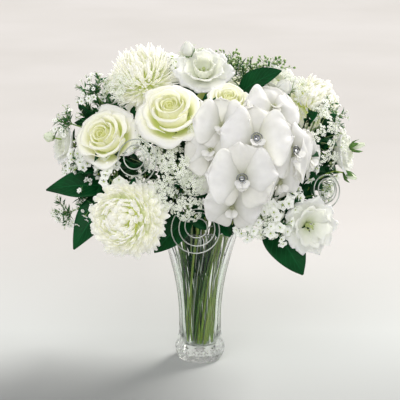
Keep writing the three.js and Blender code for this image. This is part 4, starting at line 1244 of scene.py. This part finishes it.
# Stalks of the blooms, with their sepals and leaves
LEAVES_FROM = 0.1  # the share of a stem's way above the rim where its leaves begin
LEAVES_TO = 0.86
DOME_MIDDLE = [0, 0, 250]
LEAF_LENGTH = {"rose": 46, "mum": 44, "lisianthus": 34, "orchid": 40}


def leaf_bed(line, count, length):
    """Leaves on a stem: each grows from it, outwards from the middle of the dome and along the stem."""
    bed = Points()
    for k in range(count):
        at = LEAVES_FROM + (LEAVES_TO - LEAVES_FROM) * (k + stalk_rng.random()) / count
        i = min(int(at * (len(line) - 1)), len(line) - 2)
        place = line[i] + (line[i + 1] - line[i]) * (at * (len(line) - 1) - i)
        along = unit(line[i + 1] - line[i])
        outward = unit((place - DOME_MIDDLE) * [1, 1, 0.6] + stalk_rng.normal(0, 22, 3))
        aim = unit(0.5 * along + outward + stalk_rng.normal(0, 0.3, 3))
        top = unit(np.array([0, 0, 1.0]) + 0.6 * outward)
        bed.add(place, aim, top, length * stalk_rng.uniform(0.7, 1.15), stalk_rng.random())
    return bed


SEPAL_LENGTH = {"rose": 22, "mum": 16, "lisianthus": 27, "orchid": 7}
SEPAL_LIFT = {"rose": 0.0, "mum": 0.35, "lisianthus": 0.35, "orchid": 0.35}


def calyx_meshes(seats, kind):
    """The green cup under each bloom and its five sepals."""
    radius, length = CALYX[kind]
    cups = Lines()
    sepals = Points()
    for base, facing, scale, _ in seats:
        low, high = base - (length + GAP) * scale * facing, base + 2.0 * scale * facing
        line = np.stack([low + (high - low) * t for t in (0, 0.35, 0.75, 1)])
        cups.add(line, radius * 0.45 * scale, radius * 0.9 * scale, stalk_rng.uniform(0.4, 0.8))
        axes = axes_of(facing)
        for k in range(5):
            out = spoke(2 * math.pi * (k + 0.3) / 5) @ axes
            place = base + (out * radius * 0.8 - facing * 1.5) * scale
            sepals.add(place, out + SEPAL_LIFT[kind] * facing, facing, SEPAL_LENGTH[kind] * scale, 0.5)
    return [cups.mesh(STEM, 10), sepals.mesh(SEPAL, SOFT_LEAF, 5, tilt=0.1)]


def stalk_piece(name, kind, blooms, leaf_count, leaf_seed, branch_ways=()):
    """A stem with its leaves, and with the calyx of each bloom. A branched stem also has a way to each bloom:
    the start of the branch and the direction in which it leaves."""
    radius = STEM_RADIUS[kind]
    stalk = Lines()
    stalk.add(stem_line(name), radius, radius * 0.85, stalk_rng.random())
    bed = leaf_bed(ROUTES[name][2], leaf_count, LEAF_LENGTH[kind])
    seats = [seat_of(kind, bloom) for bloom in blooms]
    for (start, lead), (_, facing, _, goal) in zip(branch_ways, seats):
        stalk.add(arc(start, lead, goal, facing, BRANCH_PULLS, 10), 1.6, 1.3, stalk_rng.random())
    leaves = bed.mesh(BROAD_LEAF, SOFT_LEAF, leaf_seed, tilt=0.1, spin=0.3, spread=0.2)
    piece(name + "_stalk", [stalk.mesh(STEM), leaves, *calyx_meshes(seats, kind)], "stem", name + "_stem")


for kind, blooms in (("rose", ROSES), ("mum", MUMS)):
    for name, bloom in blooms.items():
        stalk_piece(name, kind, [bloom], leaf_count=17, leaf_seed=31)
for name, (kind, fork, face, blooms) in BRANCHED.items():
    lead = direction(*face)
    branch_ways = [(np.array(fork) - 3 * lead, lead)] * len(blooms)
    stalk_piece(name, kind, blooms.values(), leaf_count=16, leaf_seed=37, branch_ways=branch_ways)


# Filler sprays
def star_form(petals, length, width, cup):
    """A floret whose petals spread from its eye. Its UVs run from the eye to the rim."""
    form = Form()
    up = np.array([0, 0, 1.0])
    for i in range(petals):
        along = spoke(2 * math.pi * i / petals)
        side = np.cross(up, along)
        points = [0.12 * length * along, 0.6 * length * along + width * side + cup * 0.6 * up,
                  length * along + cup * up, 0.6 * length * along - width * side + cup * 0.6 * up,
                  0.55 * length * along + (cup * 0.5 - 0.25 * width) * up]
        uvs = np.array([[0.5, 0.2], [1, 0.7], [0.5, 1], [0, 0.7], [0.5, 0.6]])
        form.add(points, [[0, 1, 4], [1, 2, 4], [2, 3, 4], [3, 0, 4]], uvs)
        form.faces.extend([[form.count - 5 + k for k in face] for face in ([0, 3, 2], [0, 2, 1])])
    eye = [0.16 * length * spoke(angle) for angle in np.arange(5) * 2 * math.pi / 5]
    ends = [[0, 0, 0.22 * length], [0, 0, -0.5 * length]]
    above = [[i, (i + 1) % 5, 5] for i in range(5)]
    below = [[(i + 1) % 5, i, 6] for i in range(5)]
    form.add(np.vstack([*eye, *ends]), above + below)
    return form


RAY_HALF_WIDTH = 0.22


def cluster_form(star, count, spread, reach, seed):
    """An umbellet: florets on short rays that make a shallow dome."""
    rng = np.random.default_rng(seed)
    form = Form()
    florets = np.vstack(star.points)
    for i in range(count):
        radius = spread * math.sqrt((i + 0.5) / count)
        angle = i * GOLDEN_ANGLE + rng.uniform(-0.3, 0.3)
        height = reach - 0.3 * radius**2 / spread + rng.uniform(-0.5, 0.5)
        place = radius * spoke(angle) + [0, 0, height]
        facing = unit(place + [0, 0, 1.6 * reach] + rng.normal(0, 1.5, 3))
        form.join(star, rng.uniform(0, 0.5), placed(florets, place, facing))
        side = unit(np.cross(place, [0.3, 0.9, 0.1])) * RAY_HALF_WIDTH
        other = unit(np.cross(place, side)) * RAY_HALF_WIDTH
        form.add([side, other - 0.5 * side, -0.5 * side - other, place - 0.3 * facing],
                 [[0, 1, 3], [1, 2, 3], [2, 0, 3], [0, 2, 1]], np.full((4, 2), 0.1))
    return form


def bud_form(radius, length):
    """A closed filler bud. Its UVs run up it."""
    rings = [(0.35 * radius, 0), (0.8 * radius, 0.25 * length), (radius, 0.55 * length),
             (0.6 * radius, 0.88 * length)]
    form = ring_form(rings, 7, 0, length)
    heights = np.vstack(form.points)[:, 2] / length
    form.uvs = [np.stack([heights * 0, heights], 1)]
    return form


LACE_STAR = star_form(5, 2.2, 1.0, 0.25)
LACE_CLUSTER = template("lace_cluster", cluster_form(LACE_STAR, 13, 8.0, 6.5, 3), FLORET, False)
SMALL_STAR = template("small_star", star_form(6, 5.4, 1.9, 1.2), FLORET, False)
WHITE_STAR = template("white_star", star_form(5, 8.0, 3.8, 2.0), FLORET, False)
BUD = template("bud", bud_form(1.7, 4.6), GREEN_BUD)

# For each kind of spray: how many rays it has at the nominal reach, twiglets on a ray, the small piece, its
# size, needles on a ray and how thick a ray is
SPRAY_REACH = 40
SPRAYS = {
    "lace": (22, 0, LACE_CLUSTER, 1.0, 0, 0.5),
    "star": (12, 2, WHITE_STAR, 1.0, 5, 0.6),
    "aster": (10, 2, SMALL_STAR, 0.86, 22, 0.5),
    "bud": (14, 4, BUD, 1.0, 12, 0.5),
    "leaf": (10, 1, BROAD_LEAF, 32.0, 0, 0.7),
}


def spray_meshes(hub, facing, reach, half_angle, kind, seed, stem, stem_radius, density=1.0):
    """A spray: rays part at the hub inside a cone, branch, and end in florets or buds."""
    rays, twiglets, form, size, needles, thick = SPRAYS[kind]
    rng = np.random.default_rng(seed)
    axes = axes_of(facing)
    lines, tips, leaflets = Lines(), Points(), Points()
    lines.add(stem, stem_radius, stem_radius * 0.8, rng.random())
    rays = max(4, round(rays * density * (reach / SPRAY_REACH) ** 1.3))
    for i in range(rays):
        share = math.sqrt((i + 0.5) / rays)
        lean = math.radians(half_angle) * share
        angle = i * GOLDEN_ANGLE + rng.uniform(-0.25, 0.25)
        out = (math.sin(lean) * spoke(angle) + [0, 0, math.cos(lean)]) @ axes
        length = reach * rng.uniform(0.8, 1.08) * (1 - 0.1 * share)
        end = hub + out * length
        line = bezier([hub, hub + 0.4 * length * unit(out + 0.7 * facing), end], 5)
        lines.add(line, thick, thick * 0.6, rng.uniform(0.3, 0.9))
        aim = unit(out + 0.25 * facing)
        tips.add(end, aim, rng.normal(0, 1, 3), size * rng.uniform(0.8, 1.15), rng.uniform(0, 0.5))
        for _ in range(twiglets):
            at = rng.uniform(0.45, 0.9)
            start = line[min(int(at * 5), 4)]
            sideways = unit(np.cross(out, rng.normal(0, 1, 3)))
            finish = start + unit(out + rng.uniform(0.5, 1.0) * sideways) * length * rng.uniform(0.3, 0.5)
            twiglet = bezier([start, (start + finish) / 2 + 1.5 * out, finish], 3)
            lines.add(twiglet, thick * 0.7, thick * 0.45, rng.uniform(0.3, 0.9))
            aim = unit(finish - start + 4 * facing)
            tips.add(finish, aim, rng.normal(0, 1, 3), size * rng.uniform(0.7, 1.1), rng.uniform(0, 0.5))
        for _ in range(needles):
            place = line[rng.integers(1, 5)] + rng.normal(0, 0.6, 3)
            aim = unit(out + 1.2 * unit(np.cross(out, rng.normal(0, 1, 3))))
            leaflets.add(place, aim, facing, reach * rng.uniform(0.18, 0.34), rng.random())
    tissue = {"bud": GREEN_BUD, "leaf": SALAL}.get(kind, FLORET)
    meshes = [tips.mesh(form, tissue, seed, tilt=0.25, spin=6.28, spread=0.15), lines.mesh(RAY, 5)]
    if needles:
        meshes.append(leaflets.mesh(NEEDLE_LEAF, NEEDLE, seed + 1, tilt=0.2, spin=1.0, spread=0.2))
    return meshes


UMBEL_DENSITY = {
    "lace_right": 0.7, "lace_middle": 0.8, "lace_low_right": 0.8, "lace_back": 0.9, "buds_top": 1.5,
}
for number, (name, (_, face, reach, half_angle, kind)) in enumerate(UMBELS.items()):
    line = stem_line(name)
    made = spray_meshes(line[-1], direction(*face), reach, half_angle, kind, SEEDS["umbel"] + number, line,
                        STEM_RADIUS["umbel"], UMBEL_DENSITY.get(name, 1.0))
    piece(name + "_spray", made, "filler_floret", name)


def nearest_fork(middle):
    """The place on a stem above the rim that is nearest to this one and lies a little below it, and the
    stem's way there."""
    best = None
    for kind, _, outside in ROUTES.values():
        if kind == "scroll":
            continue
        for i in range(3, len(outside) - 1):
            gap = np.linalg.norm(middle - outside[i]) + 0.8 * max(0, outside[i][2] - middle[2] + 12)
            if best is None or gap < best[0]:
                best = (gap, outside[i], unit(outside[i + 1] - outside[i]))
    return best[1], best[2]


for number, (middle, face, reach, kind) in enumerate(FILLS):
    facing = direction(*face)
    hub = np.array(middle, float) - 0.75 * reach * facing
    fork, lead = nearest_fork(hub)
    side_stem = arc(fork, lead, hub, facing, STEM_PULLS, 8)
    made = spray_meshes(hub, facing, reach, FILL_CONE, kind, SEEDS["fill"] + 7 * number, side_stem, 1.2)
    piece(f"filler_{kind}_{number:02d}", made, "leaf" if kind == "leaf" else "filler_floret")

_, orchid_fork, orchid_face, _ = BRANCHED["orchid_spray"]
for number, bloom in enumerate(SIDE_ORCHIDS):
    base, facing, scale, goal = seat_of("orchid", bloom)
    made = orchid_form(SEEDS["side_orchid"] + number).placed(base, facing, scale)
    branch = arc(np.array(orchid_fork), direction(*orchid_face), goal, facing, BRANCH_PULLS, 10)
    stalk = Lines()
    stalk.add(branch, 1.5, 1.2, 0.6)
    name = f"side_orchid_{number}"
    piece(name + "_petals", [made.mesh(name, ORCHID_PETAL), stalk.mesh(STEM)], "white_petal")


def bud_meshes(name, foot, aim, length, half_width, is_green, seed):
    """A closed bud in its sepals on a thin stalk from the nearest stem."""
    rng = np.random.default_rng(seed)
    foot, aim = np.array(foot, float), unit(aim)
    form = Form()
    first = rng.uniform(0, 360)
    rib = [(0.3, 0), (0.9 * half_width, 0.3 * length), (0.95 * half_width, 0.62 * length),
           (0.25 * half_width, length)]
    for k in range(4):
        cup_petal(form, rng, rib, first + 90 * k, 62, 0.5, rounding=0.1, lip=0.4, spiral=1.6, narrow=0.5,
                  shade=1.0 if is_green else 0.2)
    petals = form.placed(foot, aim).mesh(name, FLORET if is_green else LISIANTHUS_PETAL)
    fork, lead = nearest_fork(foot)
    stalk = Lines()
    stalk.add(arc(fork, lead, foot, aim, STEM_PULLS, 8), 1.2, 1.0, 0.7)
    sepals = Points()
    axes = axes_of(aim)
    for k in range(5):
        out = spoke(2 * math.pi * k / 5) @ axes
        sepals.add(foot + 0.3 * half_width * out, aim + 0.45 * out, out, length * rng.uniform(0.5, 0.95), 0.5)
    return [petals, stalk.mesh(STEM), sepals.mesh(SEPAL, RAY, seed, tilt=0.1)]


for number, bud in enumerate(BUDS):
    name = f"side_bud_{number}"
    piece(name, bud_meshes(name, *bud, SEEDS["bud"] + number), "white_petal")

# Leaves that still stand on the stems in the neck of the vase
neck_rng = np.random.default_rng(SEEDS["neck"])
neck_leaves = Points()
for _ in range(NECK_LEAVES):
    out = spoke(neck_rng.uniform(0, 2 * math.pi))
    foot = out * neck_rng.uniform(4, 16) + [0, 0, neck_rng.uniform(112, 160)]
    aim = unit(0.42 * out + [0, 0, 1])
    neck_leaves.add(foot, aim, out, neck_rng.uniform(34, 48), neck_rng.random())
made = neck_leaves.mesh(NECK_LEAF, SALAL, SEEDS["neck"] + 1, tilt=0.1, spin=0.5, spread=0.1)
piece("neck_leaves", [made], "leaf")

# Wire scrolls
for name in SCROLLS:
    _, in_vase, outside = ROUTES[name]
    wire = Lines()
    wire.add(np.vstack([in_vase, outside]), 0.85 * WIRE_RADIUS)
    piece(name + "_wire", [wire.mesh(WIRE, 10)], "wire", name)

for made in templates:
    bpy.data.objects.remove(made)


# The stage: a pale table top under soft light
def floor_material():
    """Matt pale paper with a faint mottle: warm and light at the back, cooler and dimmer round the foot."""
    made, tree, shader = new_material("pale paper", {"Roughness": 0.9, "Specular IOR Level": 0.2})
    solid = add_node(tree, "ShaderNodeTexCoord")
    split = add_node(tree, "ShaderNodeSeparateXYZ", inputs={"Vector": solid.outputs["Object"]})
    from_dip = add_node(tree, "ShaderNodeMath", {"operation": "ADD"}, {
        "Value": split.outputs["Y"], "Value_001": 0.3})
    away = add_node(tree, "ShaderNodeMath", {"operation": "ABSOLUTE"}, {"Value": from_dip})
    near = add_node(tree, "ShaderNodeMapRange", inputs={
        "Value": away, "From Min": 0.0, "From Max": 0.42, "To Min": 0.64, "To Max": 1.0})
    side = add_node(tree, "ShaderNodeMapRange", inputs={
        "Value": split.outputs["X"], "From Min": -0.10, "From Max": 0.08, "To Min": 0.0, "To Max": 0.13})
    far = add_node(tree, "ShaderNodeMapRange", inputs={
        "Value": split.outputs["Y"], "From Min": 0.5, "From Max": 1.5, "To Min": 1.0, "To Max": 0.0})
    pool = add_node(tree, "ShaderNodeMath", {"operation": "MULTIPLY"}, {"Value": side, "Value_001": far})
    both = add_node(tree, "ShaderNodeMath", {"operation": "MULTIPLY_ADD"}, {
        "Value": near, "Value_001": pool, "Value_002": near})
    cloud = add_node(tree, "ShaderNodeTexNoise", inputs={
        "Vector": solid.outputs["Object"], "Scale": 1.6, "Detail": 3.0})
    ramp = add_node(tree, "ShaderNodeValToRGB", inputs={"Fac": cloud.outputs["Fac"]})
    set_ramp(ramp, [(0.35, "#C8C5C3"), (0.65, "#CECBCA")])
    front = add_node(tree, "ShaderNodeMapRange", inputs={
        "Value": split.outputs["Y"], "From Min": 0.7, "From Max": 0.1, "To Min": 0.0, "To Max": 0.9})
    cooler = add_node(tree, "ShaderNodeMix", {"data_type": "RGBA"}, {
        "Factor": front, "A_Color": ramp, "B_Color": linear("#CACDCD")})
    fading = add_node(tree, "ShaderNodeVectorMath", {"operation": "SCALE"}, {
        "Vector": cooler.outputs[2], "Scale": both})
    tree.links.new(fading.outputs[0], shader.inputs["Base Color"])
    return made


FLOOR_RADIUS = 9000
FLOOR_SIDES = 64
FLOOR_DROP = [0, 0, -0.2]  # it lies a hair below the foot
floor = Form()
rim = [FLOOR_RADIUS * spoke(2 * math.pi * i / FLOOR_SIDES) + FLOOR_DROP for i in range(FLOOR_SIDES)]
floor.add(np.vstack([FLOOR_DROP, *rim]), [[0, 1 + i, 1 + (i + 1) % FLOOR_SIDES] for i in range(FLOOR_SIDES)])
show(floor.mesh("table_top", floor_material()), "table_top")


def aim_of(back):
    """The rotation that turns -Z away from back, with Y up."""
    return Vector(back).to_track_quat("Z", "Y")


def add_sun(name, turn, rise, softness, strength, colour):
    """Even light from a wide source that stands at turn degrees from the front towards +X and rise degrees
    up."""
    data = bpy.data.lights.new(name, "SUN")
    data.angle = math.radians(softness)
    data.energy = strength
    data.color = linear(colour)[:3]
    light = bpy.data.objects.new(name, data)
    light.rotation_mode = "QUATERNION"
    light.rotation_quaternion = aim_of(direction(turn, rise))
    bpy.context.scene.collection.objects.link(light)


add_sun("key", turn=136, rise=40, softness=25, strength=3.3, colour="#FFFCF6")
add_sun("fill", turn=-14, rise=36, softness=60, strength=1.45, colour="#FFFFFF")

# The room: grey below, brighter overhead
world = bpy.data.worlds.new("studio")
bpy.context.scene.world = world
world.use_nodes = True
sky = world.node_tree
background = sky.nodes["Background"]
incoming = add_node(sky, "ShaderNodeTexCoord")
height = add_node(sky, "ShaderNodeSeparateXYZ", inputs={"Vector": incoming.outputs["Generated"]})
fade = add_node(sky, "ShaderNodeValToRGB", inputs={"Fac": height.outputs["Z"]})
set_ramp(fade, [(0.0, "#7C7E7E"), (0.18, "#D2D1CE"), (0.4, "#F4F2EF")])
sky.links.new(fade.outputs[0], background.inputs["Color"])
background.inputs["Strength"].default_value = 0.48

# The camera has the angle and the scale of the photo
VIEW_DISTANCE = 2200.0
VIEW_RISE = 14.0
VIEW_TARGET = np.array([0, 0, 231.0])
MM_PER_PIXEL = 1.4
FRAME_PIXELS = 400
SENSOR_WIDTH = 36.0
camera_data = bpy.data.cameras.new("camera")
camera = bpy.data.objects.new("camera", camera_data)
bpy.context.scene.collection.objects.link(camera)
backwards = direction(0, VIEW_RISE)
camera.location = (VIEW_TARGET + VIEW_DISTANCE * backwards) * METRE
camera.rotation_mode = "QUATERNION"
camera.rotation_quaternion = aim_of(backwards)
camera_data.sensor_width = SENSOR_WIDTH
camera_data.lens = SENSOR_WIDTH * VIEW_DISTANCE / (MM_PER_PIXEL * FRAME_PIXELS)
bpy.context.scene.camera = camera

bpy.context.scene.view_settings.view_transform = "Standard"
